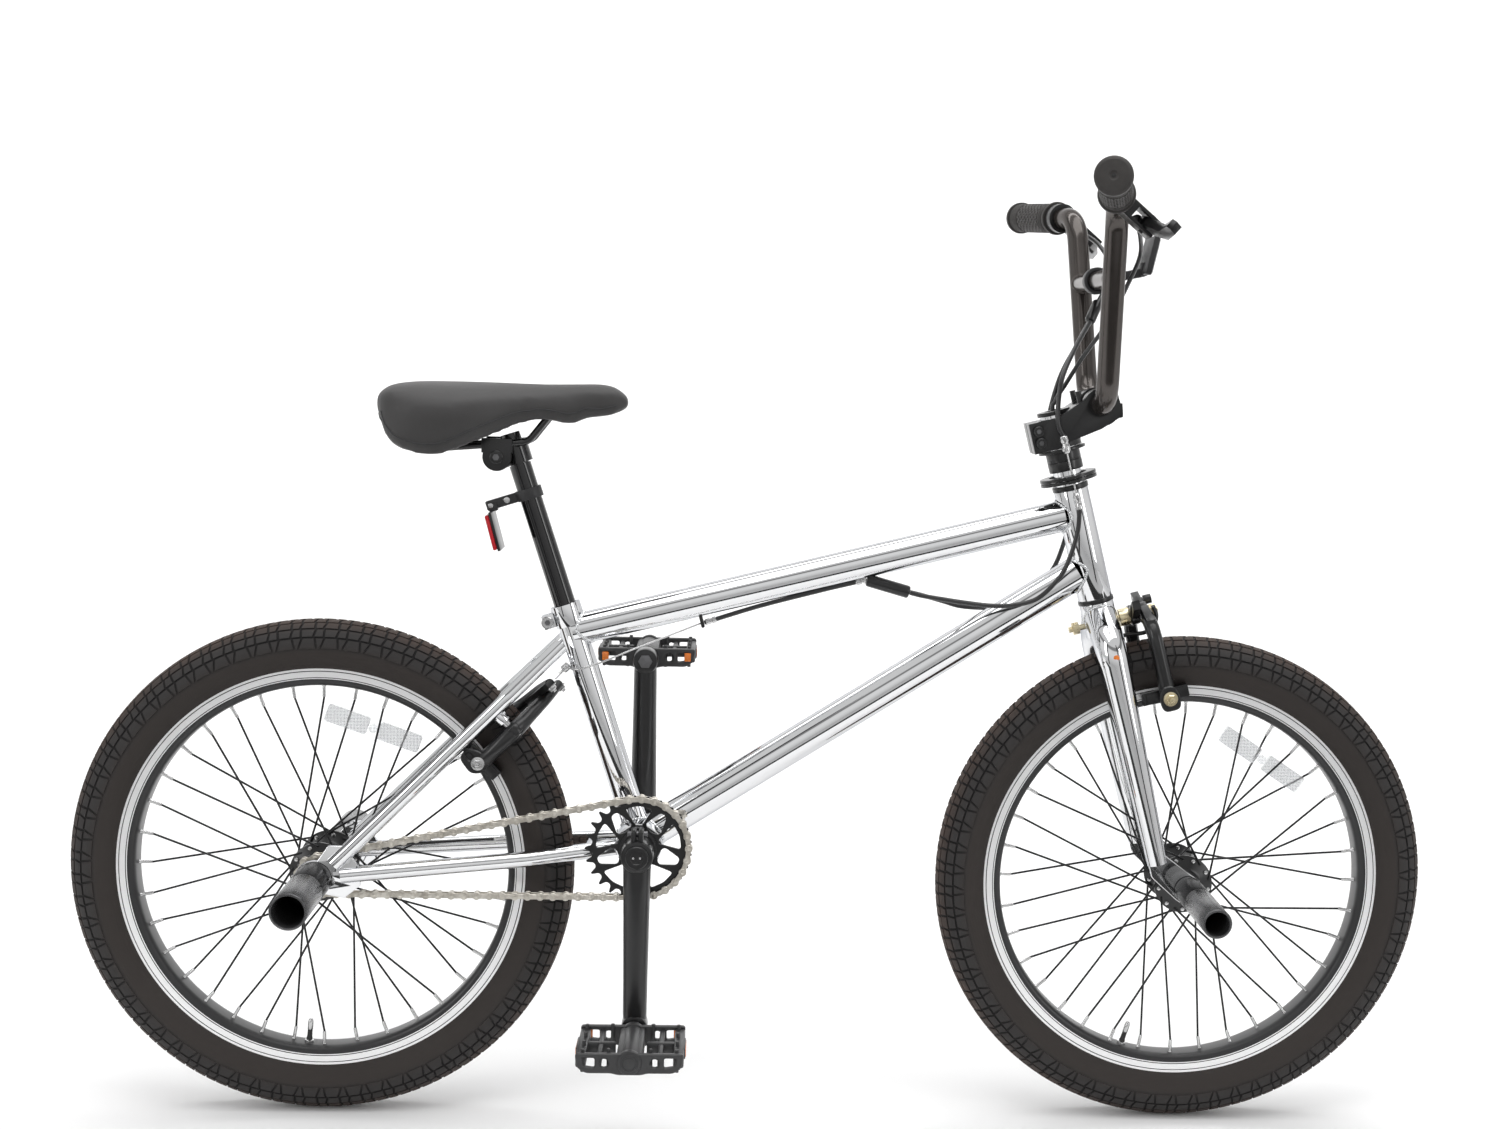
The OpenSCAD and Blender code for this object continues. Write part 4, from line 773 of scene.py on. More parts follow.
def tyre(name, like, cx):
    mid, big, skin = 227.0, 27.0, 25.7
    profile = []
    for deg in np.linspace(-151, 151, 62):
        a = math.radians(deg)
        r, y = mid + skin * math.cos(a), skin * math.sin(a)
        if abs(deg) > 96:
            pinch = (abs(deg) - 96) / 55
            y = math.copysign(abs(y) + (15.6 - abs(skin * math.sin(math.radians(151)))) * pinch ** 2, y)
        profile.append((r, y))
    body = lathe(profile, (cx, 0, AXLE_Z), (0, 1, 0), 220)
    bead = lathe([(206.5, -15.2), (204, -13.2), (204, 13.2), (206.5, 15.2)], (cx, 0, AXLE_Z), (0, 1, 0), 120)
    # uv x is set to 0 on the casing, so the tyre material paints it with the groove shade towards the crown
    body = (body[0], [f for f in body[1] if len(f) == 4], body[2] * [0, 1])
    bead = (bead[0], [f for f in bead[1] if len(f) == 4], bead[2] * [0, 1])
    # rows from the crown outwards: from and to across the section in degrees, then the share of the pitch that
    # the wide block takes at each side of the row; a narrow block fills the rest
    rows = [(1.4, 24, 0.60, 0.52), (26, 44, 0.54, 0.66), (46.5, 65, 0.66, 0.54), (67.5, 91, 0.56, 0.86)]
    count, gap = 66, 0.07
    pitch = 2 * math.pi / count
    steps = (0, 0.05, 0.36, 0.64, 0.95, 1)
    points, faces, uv = [], [], []
    for k in range(count):
        for side in (-1, 1):
            for lo, hi, near, far in rows:
                for wide in (True, False):
                    start = len(points)
                    for i, across in enumerate(steps):
                        share = near + (far - near) * across
                        width = (share if wide else 1 - share) - gap
                        middle = k + (0 if wide else 0.5) + (0.25 if side > 0 else 0) + 0.06 * across
                        for j, along in enumerate(steps):
                            low = i in (0, 5) or j in (0, 5)
                            deg = math.radians(lo + (hi - lo) * across)
                            height = skin - 0.4 if low else big - 0.15
                            r = mid + height * math.cos(deg)
                            a = (middle + (along - 0.5) * width) * pitch
                            points.append(wheel_point(cx, r, a, side * height * math.sin(deg)))
                            # uv x 0 marks the low rim of a block, which the tyre material paints with shade; 1 marks
                            # the lit block top
                            uv.append((0.0 if low else 1.0, r))
                    for i in range(5):
                        for j in range(5):
                            q = start + i * 6 + j
                            faces.append((q, q + 1, q + 7, q + 6))
    treads = (np.array(points), faces, np.array(uv))
    piece(name, like, [(body, TYRE), (bead, TYRE), (treads, TYRE)], sharp=30)


def rim(name, like, cx):
    half, r0, r1 = 16.5, 187.0, 209.0
    profile = [(r1 - 0.8, half), (r1, half - 0.8), (r1, half - 1.7), (r1 - 1.2, half - 2.6), (r1 - 6, 12.6),
               (r1 - 7, 10), (r1 - 8.4, 6), (r1 - 8.4, -6), (r1 - 7, -10), (r1 - 6, -12.6),
               (r1 - 1.2, -half + 2.6), (r1, -half + 1.7), (r1, -half + 0.8), (r1 - 0.8, -half),
               (203.1, -half), (202.6, -half + 0.5), (202.1, -half), (196.5, -half), (196.2, -half + 0.5),
               (192, -half + 0.6), (r0 + 2, -half + 2.4), (r0 + 0.5, -half + 5), (r0, -half + 9), (r0, half - 9),
               (r0 + 0.5, half - 5), (r0 + 2, half - 2.4), (192, half - 0.6), (196.2, half - 0.5), (196.5, half),
               (202.1, half), (202.6, half - 0.5), (203.1, half)]
    ring = lathe(profile, (cx, 0, AXLE_Z), (0, 1, 0), 240, closed=True)
    piece(name, like, [(ring, RIM)], sharp=40)


def spokes(name, like, cx):
    step = 2 * math.pi / 36
    wires, nipples, heads = [], [], []
    for side in (-1, 1):
        for k in range(9):
            for lead in (-1, 1):
                hub_a = 4 * step * k + (0 if lead > 0 else 2 * step) + (step if side > 0 else 0)
                rim_a = hub_a + lead * 6 * step
                # the wheel's own Y runs against the row's
                hub_y = -side * (28 + lead * 2.5)
                rim_y = -side * (2.6 + lead * 1.1)
                root = wheel_point(cx, 26, hub_a, hub_y)
                tip = wheel_point(cx, 174, rim_a, rim_y)
                inner = wheel_point(cx, 26, hub_a, -side * (28 - lead * 2.6))
                along = unit(tip - root)
                wires.append(sweep([inner, wheel_point(cx, 26, hub_a, -side * (28 + lead * 1.2)),
                                    root + along * 1.6, root + along * 40, tip + along * 3],
                                   [1.2, 1.2, 1.15, 1.1, 1.1], 10))
                heads.append(rod(inner, inner + vec(0, side * lead * 1.2, 0), 2.1, 0.5, 14))
                end = wheel_point(cx, 188.4, rim_a, rim_y)
                d = unit(end - tip)
                length = np.linalg.norm(end - tip)
                nipples.append(lathe([(1.25, 0), (1.75, 0.6), (1.75, length * 0.72), (2.3, length * 0.86),
                                      (2.7, length)], tip, d, 10))
    piece(name, like, [(joined(wires), SPOKE), (joined(heads), STEEL), (joined(nipples), STEEL)])


def hub(name, like, cx, half, shell, axle_r, driver):
    parts = [
        (lathe([(shell - 3.5, -half + 8), (shell - 0.8, -half + 8), (shell, -half + 9), (shell + 1.5, -33),
                (shell + 4, -31.5), (29, -29.6), (30, -29), (30, -27), (29, -26.4), (shell + 4, -24),
                (shell, -19), (shell - 2.5, -8), (shell - 2.5, 8), (shell, 19), (shell + 4, 24), (29, 26.4),
                (30, 27), (30, 29), (29, 29.6), (shell + 4, 31.5), (shell + 1.5, 33), (shell, half - 9),
                (shell - 0.8, half - 8), (shell - 3.5, half - 8)], (cx, 0, AXLE_Z), (0, 1, 0), 64), SATIN),
        (rod((cx, -half + 0.2, AXLE_Z), (cx, -half + 9, AXLE_Z), shell - 5.5, 0.8), DARK_STEEL),
        (rod((cx, half - 9, AXLE_Z), (cx, half - 0.2, AXLE_Z), shell - 5.5, 0.8), DARK_STEEL),
    ]
    piece(name, like, parts)


def valve(name, like, cx, turn):
    a = math.radians(-90 + turn)
    foot = wheel_point(cx, 208, a, 0)
    d = unit(wheel_point(cx, 162, a, 0) - foot)
    parts = [
        (lathe([(3.1, 0), (3.1, 25), (2.6, 27), (2.5, 33), (2.5, 34)], foot, d, 20), TUBE),
        (lathe([(2.6, 0), (2.9, 0.6), (2.9, 8.5), (2.3, 10.6), (1.4, 11.6)], wheel_point(cx, 174, a, 0), d, 18), STEEL),
        (lathe([(4.6, 0), (4.6, 2.4), (3.4, 3.0)], wheel_point(cx, 187.4, a, 0), d, 18), STEEL),
    ]
    piece(name, like, parts + [(inner_ring(cx), TUBE)])


def inner_ring(cx):
    return lathe([(228.5 + 20.5 * math.cos(t), 20.5 * math.sin(t)) for t in
                  np.linspace(0, 2 * math.pi, 20, endpoint=False)], (cx, 0, AXLE_Z), (0, 1, 0), 90, closed=True)


def wheel_reflector(name, like, cx, turn):
    a = math.radians(turn)
    out = unit(wheel_point(cx, 1, a, 0) - wheel_point(cx, 0, a, 0))
    along = vec(-out[2], 0, out[0])
    axes = np.array([out, along, [0, -1, 0]])
    centre = wheel_point(cx, 151, a, 0)
    body = plate(soften([(-11, -52), (11, -52), (12, 0), (11, 52), (-11, 52), (-12, 0)], 6), [], -1.6, 1.6,
                 centre, axes, 0.7)
    parts = [(body, CLEAR_LENS)]
    for s in (-1, 1):
        for w in (-27.5, 27.5):
            pad = plate(soften([(-9, w - 22), (9, w - 22), (9, w + 22), (-9, w + 22)], 3), [], 1.4, 3.2,
                        centre, np.array([out, along, [0, -s, 0]]), 0.5)
            parts.append((pad, DOTTED_LENS))
        parts.append((rod(centre - vec(0, s * 1.4, 0), centre - vec(0, s * 3.4, 0), 4.5), CLEAR_LENS))
    piece(name, like, parts)


for end, cx, half, shell, axle_r, turn, flash in (("front", FRONT_X, 50, 15, 5, -16, 57), ("rear", REAR_X, 55, 16, 7, -5, 71)):
    tyre(end + "_tyre_casing", end + "_tyre", cx)
    rim(end + "_rim_hoop", end + "_rim", cx)
    spokes(end + "_spoke_wires", end + "_spokes", cx)
    hub(end + "_hub_shell", end + "_hub", cx, half, shell, axle_r, end == "rear")
    valve(end + "_valve", end + "_inner_tube", cx, turn)
    wheel_reflector(end + "_wheel_lens", end + "_wheel_reflector", cx, flash)


def peg(r, base):
    ring = [(r - 3, base + 8), (r - 3.4, base + 6), (7.6, base + 6), (7.6, base), (r - 1.2, base), (r, base + 1.2),
            (r, base + 48), (r - 0.5, base + 48.8), (r - 0.5, base + 50), (r, base + 50.8), (r, 185.6),
            (r - 0.6, 186.6), (r - 1.4, 187), (r - 2.4, 186.8), (r - 3, 186)]
    return ring


def pegs(name, like, cx, r, base):
    parts = []
    for s in (-1, 1):
        shape = lathe(peg(r, base), (cx, 0, AXLE_Z), (0, s, 0), 72, closed=True)
        p = shape[0]
        along = np.abs(p[:, 1]) - base
        around = np.arctan2(p[:, 2] - AXLE_Z, p[:, 0] - cx) * r
        parts.append(((p, shape[1], np.column_stack([along, around])), KNURL))
    piece(name, like, parts)


pegs("rear_peg_sleeves", "rear_pegs", REAR_X, 18, 60.5)
pegs("front_peg_sleeves", "front_pegs", FRONT_X, 14.5, 55.5)
refined("front_axle_set", "front_axle", DARK_STEEL, 0.5)

# ---------------------------------------------------------------- fork and steering
refined("steerer", "steerer_tube", CHROME, 0.4)
leg_path = [steer(*p) for p in rounded([vec(0, 5, 289), vec(-2, 47, 262), vec(-5, 52.5, 34)], 34)]
leg_radius = np.linspace(16.5, 10, len(leg_path))
run = np.concatenate([[0], np.cumsum([np.linalg.norm(b - a) for a, b in zip(leg_path, leg_path[1:])])])
leg_radius = 16.5 - 6.5 * np.clip((run / run[-1] - 0.1) / 0.9, 0, 1)
fork_axes = np.array([STEER_AXES[0], STEER_AXES[2], [0, -1, 0]])
fork_end = soften([(-14, 42), (4, 42), (24, 17), (34, 6), (33, -10), (27, -14), (25.3, -13), (25.3, 0),
                   (23, 4.6), (20, 5.6), (17, 4.6), (14.7, 0), (14.7, -13), (12, -14), (6, -8), (-14, 22)], 3)
parts = []
for s in (-1, 1):
    flip = vec(1, s, 1)
    leg = sweep([p * flip for p in leg_path], leg_radius, 56)
    parts.append((leg, CHROME))
    parts.append((plate(fork_end, [], -2.5, 2.5, steer(0, s * 52.5, 0), fork_axes, 0.8), CHROME))
    parts.append((rod(steer(-1, s * 51, 252), steer(-1, s * 62.4, 252), 3.4, 1.2), ORANGE))
parts.append((sleeve(steer(0, 0, 268), steer(0, 0, 303), HEAD_R, 14.3, 0.9, 96), CHROME))
for s in (-1, 1):
    d = (leg_path[3] - leg_path[0]) * vec(1, s, 1)
    parts.append((weld_bead(leg_path[0] * vec(1, s, 1), d, 16.0, FOOT, HEAD_AXIS, HEAD_R, 1.5), WELD))
piece("fork_blades", "fork_legs", parts)
refined("spacer_stack", "headset_spacers", SATIN, 0.5)
refined("stem_body", "stem", SATIN, 1.0)
refined("stem_screws", "stem_bolts", SATIN, 0.5)
piece("stem_screw_sockets", "stem_bolts", [
    (lathe(ring, steer(-22, -25, s), (0, -1, 0), sides), mat)
    for s in (476, 488)
    for ring, sides, mat in (([(5.3, -0.6), (5.3, 0.9), (4.6, 1.5), (3.0, 1.5), (2.9, 0.6)], 36, SATIN),
                             ([(2.8, 0.5), (2.6, 0.9), (2.1, 0.9)], 6, DARK_STEEL))
], replaces=False)
refined("gyro_lower_ring", "gyro_lower_plate", SATIN, 0.5)
refined("gyro_upper_ring", "gyro_upper_plate", SATIN, 0.5)

BAR_MID = steer(45, 0, 500)
BAR_LOW = BAR_MID + vec(0, 56, 0)
BAR_TOP = vec(BAR_MID[0] - 9, 122, BAR_MID[2] + 192)
BAR_TIP = vec(290, 296, BAR_MID[2] + 202)
CROSS = BAR_LOW + 0.64 * (BAR_TOP - BAR_LOW)
GRIP_DIR = unit(BAR_TIP - BAR_TOP)


def bar_at(y):
    return BAR_TOP + GRIP_DIR * (y - 122) / GRIP_DIR[1]


half_bar = [BAR_LOW, BAR_TOP, BAR_TIP]
other_bar = [p * vec(1, -1, 1) for p in reversed(half_bar)]
cross_dir = unit(BAR_TOP - BAR_LOW)
piece("handlebar_tube", "handlebar", [
    (sweep(rounded(other_bar + half_bar, 38), 11.1, 56), BAR),
    (sweep([CROSS * vec(1, -1, 1), CROSS], 9.5, 48, caps=False), BAR),
] + [(s, BAR) for s in both(weld_bead(CROSS, vec(0, -1, 0), 9.5, BAR_LOW, cross_dir, 11.1, 1.3))])


def grip(sign):
    start, end = bar_at(178), bar_at(300)
    length = np.linalg.norm(end - start)
    n, sides = 260, 120
    s = np.linspace(0, length, n)
    t = np.linspace(0, 2 * math.pi, sides, endpoint=False)
    S, T = np.meshgrid(s, t, indexing="ij")
    r = np.full(S.shape, 15.0)
    ribs = (S > 12) & (S < 24) | (S > length - 30) & (S < length - 9)
    r += np.where(ribs, 0.9 * (np.sin(S * 2 * math.pi / 3.4) > -0.1), 0)
    waffle = (S >= 26) & (S <= length - 33)
    cells = (np.mod(S, 5.0) > 1.2) & (np.mod(T * 15.0 * 18 / (2 * math.pi * 15) * 5.0 + np.floor(S / 5.0) % 2 * 2.5, 5.0) > 1.2)
    r += np.where(waffle, 0.95 * cells, 0)
    flange = S < 5
    r = np.where(flange, 17.9 - 0.6 * np.abs(S - 2.5) / 2.5, r)
    r = np.where((S >= 5) & (S < 7), 15.4, r)
    tail = S > length - 7
    r = np.where(tail, 17.4 - 2.2 * np.clip((S - (length - 3)) / 3, 0, 1) ** 2, r)
    path = start + GRIP_DIR * s[:, None]
    shape = sweep(path, r, sides)
    cap = lathe([(15.2, -0.2), (14.2, 0.5), (4.4, 0.9), (3.6, 0.4), (2.3, 0.2), (2.2, -0.5)], end, GRIP_DIR, 40)
    hole = rod(end - GRIP_DIR * 0.2, end + GRIP_DIR * 0.42, 1.9, 0.1, 20)
    out = [(shape, GRIP), (cap, GRIP), (hole, TUBE)]
    return out if sign > 0 else [(mirrored(a), m) for a, m in out]


piece("grip_sleeves", "grips", grip(1) + grip(-1), sharp=32)
refined("lever_brackets", "brake_lever_mounts", SATIN, 0.7)
refined("lever_blade_left", "brake_lever_left", SATIN, 1.2)
refined("lever_blade_right", "brake_lever_right", SATIN, 1.2)

# ---------------------------------------------------------------- cables
GYRO_Y = 31


def lower_route(side, drop):
    return [steer(0, side * GYRO_Y, 403.6), vec(315, side * 31, 614), vec(306, side * 30, 582),
            vec(295, side * 27, 563), vec(277, side * 26, 546 - drop), vec(255, side * 23, 539 - drop),
            vec(232, side * 16, 537 - drop), vec(204, side * 9, 539 - drop), vec(186, side * 5, 541 - drop / 2),
            vec(164, side * 2.9, 544), vec(150.6, side * 2.9, 547)]


WIRE = [vec(105.4, 0, 559), vec(86, 0, 554), vec(59, 0, 547), vec(-2, 0, 530), vec(-50, 0, 514.2)]
BARE = [vec(-60, 0, 511.5), vec(-90, -8, 500), vec(-130, -19, 485), vec(-165, -22, 470), vec(-186, -20, 464),
        vec(-198, -8, 466), stay(24, 0, 323)]
BARREL = [vec(150, 0, 547), vec(106, 0, 559)]


def cable(route, r):
    return sweep(smooth_path(route), r, 16)


def crimp(p, q, r):
    p, q = np.asarray(p, float), np.asarray(q, float)
    h = np.linalg.norm(q - p)
    ring = [(r - 0.6, 0), (r, 0.6), (r, h * 0.3), (r - 0.7, h * 0.36), (r - 0.7, h * 0.48), (r, h * 0.54),
            (r, h * 0.86), (r * 0.75, h * 0.92), (r * 0.6, h)]
    return lathe(ring, p, q - p, 28)


rear_parts = [(cable(lower_route(-1, 0), 2.4), HOUSING), (cable(lower_route(1, 6), 2.4), HOUSING),
              (cable(WIRE, 2.4), HOUSING), (rod(BARREL[0], BARREL[1], 6.5, 2.2), SATIN),
              (crimp(BARREL[1], BARREL[1] + (WIRE[1] - WIRE[0]) * 0.6, 3.4), STEEL),
              (crimp(WIRE[-1] - vec(4, 0, 1.3) * -1, WIRE[-1] + vec(-8, 0, -2.6), 3.3), STEEL),
              (cable(BARE, 0.9), STEEL), (rod(stay(24, 0, 323.5), stay(24, 0, 315), 4.2, 1), STEEL)]
for side in (-1, 1):
    rear_parts += [
        (crimp(steer(0, side * GYRO_Y, 403), steer(0, side * GYRO_Y, 420.4), 3.7), STEEL),
        (rod(steer(0, side * GYRO_Y, 420), steer(0, side * GYRO_Y, 430), 0.8, 0.1, 10), STEEL),
        (rod(stay(24, side * 4, 318.4), stay(24, side * 20, 307), 0.8, 0.1, 10), STEEL),
    ]
piece("rear_cable_run", "rear_brake_cable", rear_parts)

PORT = vec(340, 138.6, 918.6)
SPLIT = [vec(336, 26, 846), vec(326, 14, 826)]
UPPER = [PORT, vec(349, 112, 908), vec(354, 80, 890), vec(348, 48, 866), SPLIT[0] + vec(0.3, 0.3, 0.5)]
UPPER_ENDS = [[vec(325.8, 16.9, 825.4), vec(314, 22, 800), vec(300, 29, 768), steer(-2, GYRO_Y, 495),
               steer(0, GYRO_Y, 478.4)],
              [vec(325.8, 11.1, 825.4), vec(310, -4, 800), vec(294, -24, 766), steer(-2, -GYRO_Y, 495),
               steer(0, -GYRO_Y, 478.4)]]
upper_parts = [(cable(UPPER, 2.4), HOUSING), (rod(SPLIT[0], SPLIT[1], 5.5, 1.8), SATIN)]
upper_parts += [(cable(r, 2.4), HOUSING) for r in UPPER_ENDS]
for side in (-1, 1):
    upper_parts += [
        (crimp(steer(0, side * GYRO_Y, 478.6), steer(0, side * GYRO_Y, 461), 4.2), STEEL),
        (rod(steer(0, side * GYRO_Y, 461), steer(0, side * GYRO_Y, 437.4), 0.8, 0.1, 10), STEEL),
    ]
piece("upper_cable_run", "gyro_upper_cable", upper_parts)
FRONT = [vec(340, -138.6, 918.6), vec(350, -112, 906), vec(356, -84, 888), vec(350, -60, 862), vec(340, -46, 836),
         vec(328, -34, 812), vec(316, -14, 790), vec(302, 2, 762), vec(293, 6, 745), steer(0, 6, 496),
         steer(0, 6, 400), steer(0, 6, 300), steer(1, 6, 273), steer(10, 7, 262), steer(26, 6, 261),
         steer(42, 0, 260), steer(51, -8, 266), steer(55, -16, 277), steer(53, -20, 288)]
piece("front_cable_run", "front_brake_cable", [(cable(FRONT, 2.2), HOUSING)])

# ---------------------------------------------------------------- brakes
refined("calliper_pivot", "front_brake_bolt", BRASS, 0.4)


refined("front_arm_left_body", "front_brake_arm_left", SATIN, 0.8)
refined("front_arm_right_body", "front_brake_arm_right", SATIN, 0.8)
refined("rear_arm_left_body", "rear_brake_arm_left", SATIN, 0.8)
refined("rear_arm_right_body", "rear_brake_arm_right", SATIN, 0.8)

# nuts, washers and the slotted ears that the photograph's brakes carry on their outer faces
def nut(p, axis, r, h, mat=STEEL):
    return [(lathe([(r, 0), (r, h * 0.75), (r * 0.8, h)], p, axis, 6), mat),
            (lathe([(r * 1.35, -1.2), (r * 1.35, 0.2), (r * 0.9, 0.6)], p, axis, 28), mat),
            (rod(p, np.asarray(p, float) + unit(axis) * (h + 2.2), r * 0.45, 0.5, 16), mat)]


shoe_u = math.sqrt(198 ** 2 - 30 ** 2)
for s, n0, which in ((1, 20, "left"), (-1, 28.5, "right")):
    like = "rear_brake_arm_" + which
    ear = soften([(-15, -9), (4, -12), (12, -4), (12, 8), (-4, 12), (-17, 4)], 6)
    slot = soften([(-12.5, -3.2), (-4.5, -3.2), (-4.5, 2.2), (-12.5, 2.2)], 2.4)
    parts = nut(stay(30, s * 48, shoe_u), (0, s, 0), 5.0, 4.2)
    parts += [
        (plate(ear, [slot], 0, 6, stay(28, s * 40, shoe_u - 1), np.array([STAY_AXES[0], STAY_AXES[2], [0, s, 0]]), 1.2), SATIN),
        (rod(stay(n0 - 1.5, s * 38, 243), stay(n0 + 8.5, s * 38, 243), 9.6, 1.2), SATIN),
        (rod(stay(n0 + 8.4, s * 38, 243), stay(n0 + 10.4, s * 38, 243), 6.2, 0.8), STEEL),
        (sweep(smooth_path([stay(n0 - 1, s * 33, 246), stay(n0 - 3, s * 26, 262), stay(n0 - 1, s * 14, 276)]), 0.9, 8), STEEL),
    ]
    spine = [stay(n0 + 3.5, s * y, u) for y, u in ((38, shoe_u), (42.5, 218), (38, 243), (24, 262), (6, 284), (-18, 299))]
    reach = smooth_path(spine)
    parts.append((sweep(reach, np.interp(np.linspace(0, 5, len(reach)), range(6), (8.5, 8, 9, 7.5, 6.5, 5)), 20), SATIN))
    parts += nut(stay(n0 + 7.4, s * -20, 298), STAY_AXES[0], 4.2, 3.4)
    piece("rear_arm_fittings_" + which, like, parts, replaces=False)
for s, x0, which in ((1, 31, "left"), (-1, 41, "right")):
    like = "front_brake_arm_" + which
    shoe_s = math.sqrt(198 ** 2 - (x0 + 4 - 20) ** 2)
    ear = soften([(-9, -12), (9, -12), (11, 2), (6, 14), (-6, 14), (-11, 2)], 6)
    parts = nut(steer(x0 + 4, s * 52.3, shoe_s), (0, s, 0), 5.4, 4.6, BRASS)
    parts += [
        (plate(ear, [], 0, 5, steer(x0 + 4, s * 45.4, shoe_s - 1), np.array([STEER_AXES[0], STEER_AXES[2], [0, s, 0]]), 1.2), SATIN),
        (rod(steer(x0 - 0.6, 0, 281), steer(x0 + 8.6, 0, 281), 10.6, 1.2), SATIN),
        (sweep(smooth_path([steer(x0 - 1, s * 8, 286), steer(x0 - 2.5, s * 22, 280), steer(x0 - 1, s * 34, 262)]), 0.9, 8), STEEL),
    ]
    spine = [steer(x0 + 4, s * y, u) for y, u in ((40, shoe_s), (41.5, 247), (34, 268), (16, 279), (0, 281), (-21, 292))]
    reach = smooth_path(spine)
    parts.append((sweep(reach, np.interp(np.linspace(0, 5, len(reach)), range(6), (8.5, 7, 7.5, 7.5, 8, 5)), 20), SATIN))
    piece("front_arm_fittings_" + which, like, parts, replaces=False)

# ---------------------------------------------------------------- saddle and post
clamp = vec(-266, 0, 676)
for s in (-1, 1):
    face = clamp + vec(0, s * 33, 0)
    piece("clamp_bolt_" + ("right" if s < 0 else "left"), "saddle_clamp", [
        (lathe([(6.6, -2), (6.6, 1.6), (5.8, 2.2), (3.6, 2.2)], face, (0, s, 0), 40), SATIN),
        (lathe([(3.6, 1.9), (3.4, 2.3), (2.9, 2.3)], face, (0, s, 0), 6), DARK_STEEL),
    ], replaces=False)
NODES["seat_post"].data.materials.clear()
NODES["seat_post"].data.materials.append(GLOSS)
refined("saddle_clamp_body", "saddle_clamp", SATIN, 0.8)
rail = rounded([vec(-345, 26, 701), vec(-322, 22, 683.3), vec(-236, 22, 691.2), vec(-208, 16, 727)], 14)
piece("saddle_rail_rods", "saddle_rails", [(s, GLOSS) for s in both(sweep(rail, 3.5, 24))])


def curve(table, x):
    xs, ys = zip(*table)
    return float(np.interp(x, xs, ys))


def smooth_curve(table, x, blur=5):
    return sum(curve(table, x + d * blur) * w for d, w in ((-1, 0.25), (0, 0.5), (1, 0.25)))


WIDTH = [(-385, 20), (-380, 38), (-373, 49), (-361, 59), (-345, 64.5), (-325, 66), (-305, 64), (-285, 56),
         (-265, 45), (-245, 36.5), (-225, 32), (-200, 28), (-175, 25.5), (-160, 23), (-150, 20), (-142, 14.5), (-137, 8)]
TOP = [(-385, 733.5), (-380, 740.5), (-370, 745.5), (-345, 748), (-300, 747.5), (-250, 746), (-215, 746.5),
       (-185, 748.5), (-165, 750), (-152, 748), (-143, 742.5), (-137, 734.5)]
BOTTOM = [(-384, 724.5), (-381.5, 716.5), (-376, 698.5), (-366, 686.5), (-353, 681), (-335, 677), (-321, 677),
          (-305, 682), (-286, 690), (-267, 698.5), (-246, 708), (-225, 712.5), (-212, 712), (-199, 709.5),
          (-187, 710), (-180, 716.5), (-165, 716.5), (-152, 719.5), (-143, 723), (-137, 727.5)]


def saddle_ring(x):
    w, top, low = smooth_curve(WIDTH, x, 2), smooth_curve(TOP, x), smooth_curve(BOTTOM, x)
    shoulder = low + (top - low) * 0.5
    out = []
    for t in np.linspace(0, math.pi, 29):
        c, s = math.cos(t), math.sin(t)
        out.append((w * math.copysign(abs(c) ** 0.72, c), shoulder + (top - shoulder) * abs(s) ** 0.8))
    hollow = 0.55 if -345 < x < -212 else 0.0
    roof = max(low + 4, min(716.5, top - 16)) if hollow else low + 1.0
    under = [(-0.985, 0.3, 0), (-0.95, 0.1, 0), (-0.9, 0.0, 0), (-0.8, 0.02, 0), (-0.62, 0.0, 0.7), (-0.45, 0, 1),
             (-0.2, 0, 1), (0, 0, 1), (0.2, 0, 1), (0.45, 0, 1), (0.62, 0.0, 0.7), (0.8, 0.02, 0), (0.9, 0, 0),
             (0.95, 0.1, 0), (0.985, 0.3, 0)]
    for y, h, inner in under:
        z = low + (shoulder - low) * h * 1.0
        z = z + (roof - z) * inner
        out.append((y * w, z))
    return [vec(x, y, z) for y, z in out]


stations = np.concatenate([np.linspace(-385, -360, 9), np.linspace(-355, -165, 40), np.linspace(-161, -137.3, 8)])
rings = [saddle_ring(x) for x in stations]
sides = len(rings[0])
seat_points = np.concatenate([np.array(r) for r in rings])
seat_faces = grid(len(rings), sides, False, True)
seat = piece("saddle_body", "saddle", [((seat_points, seat_faces, np.zeros((len(seat_points), 2))), COVER)],
             sharp=60)


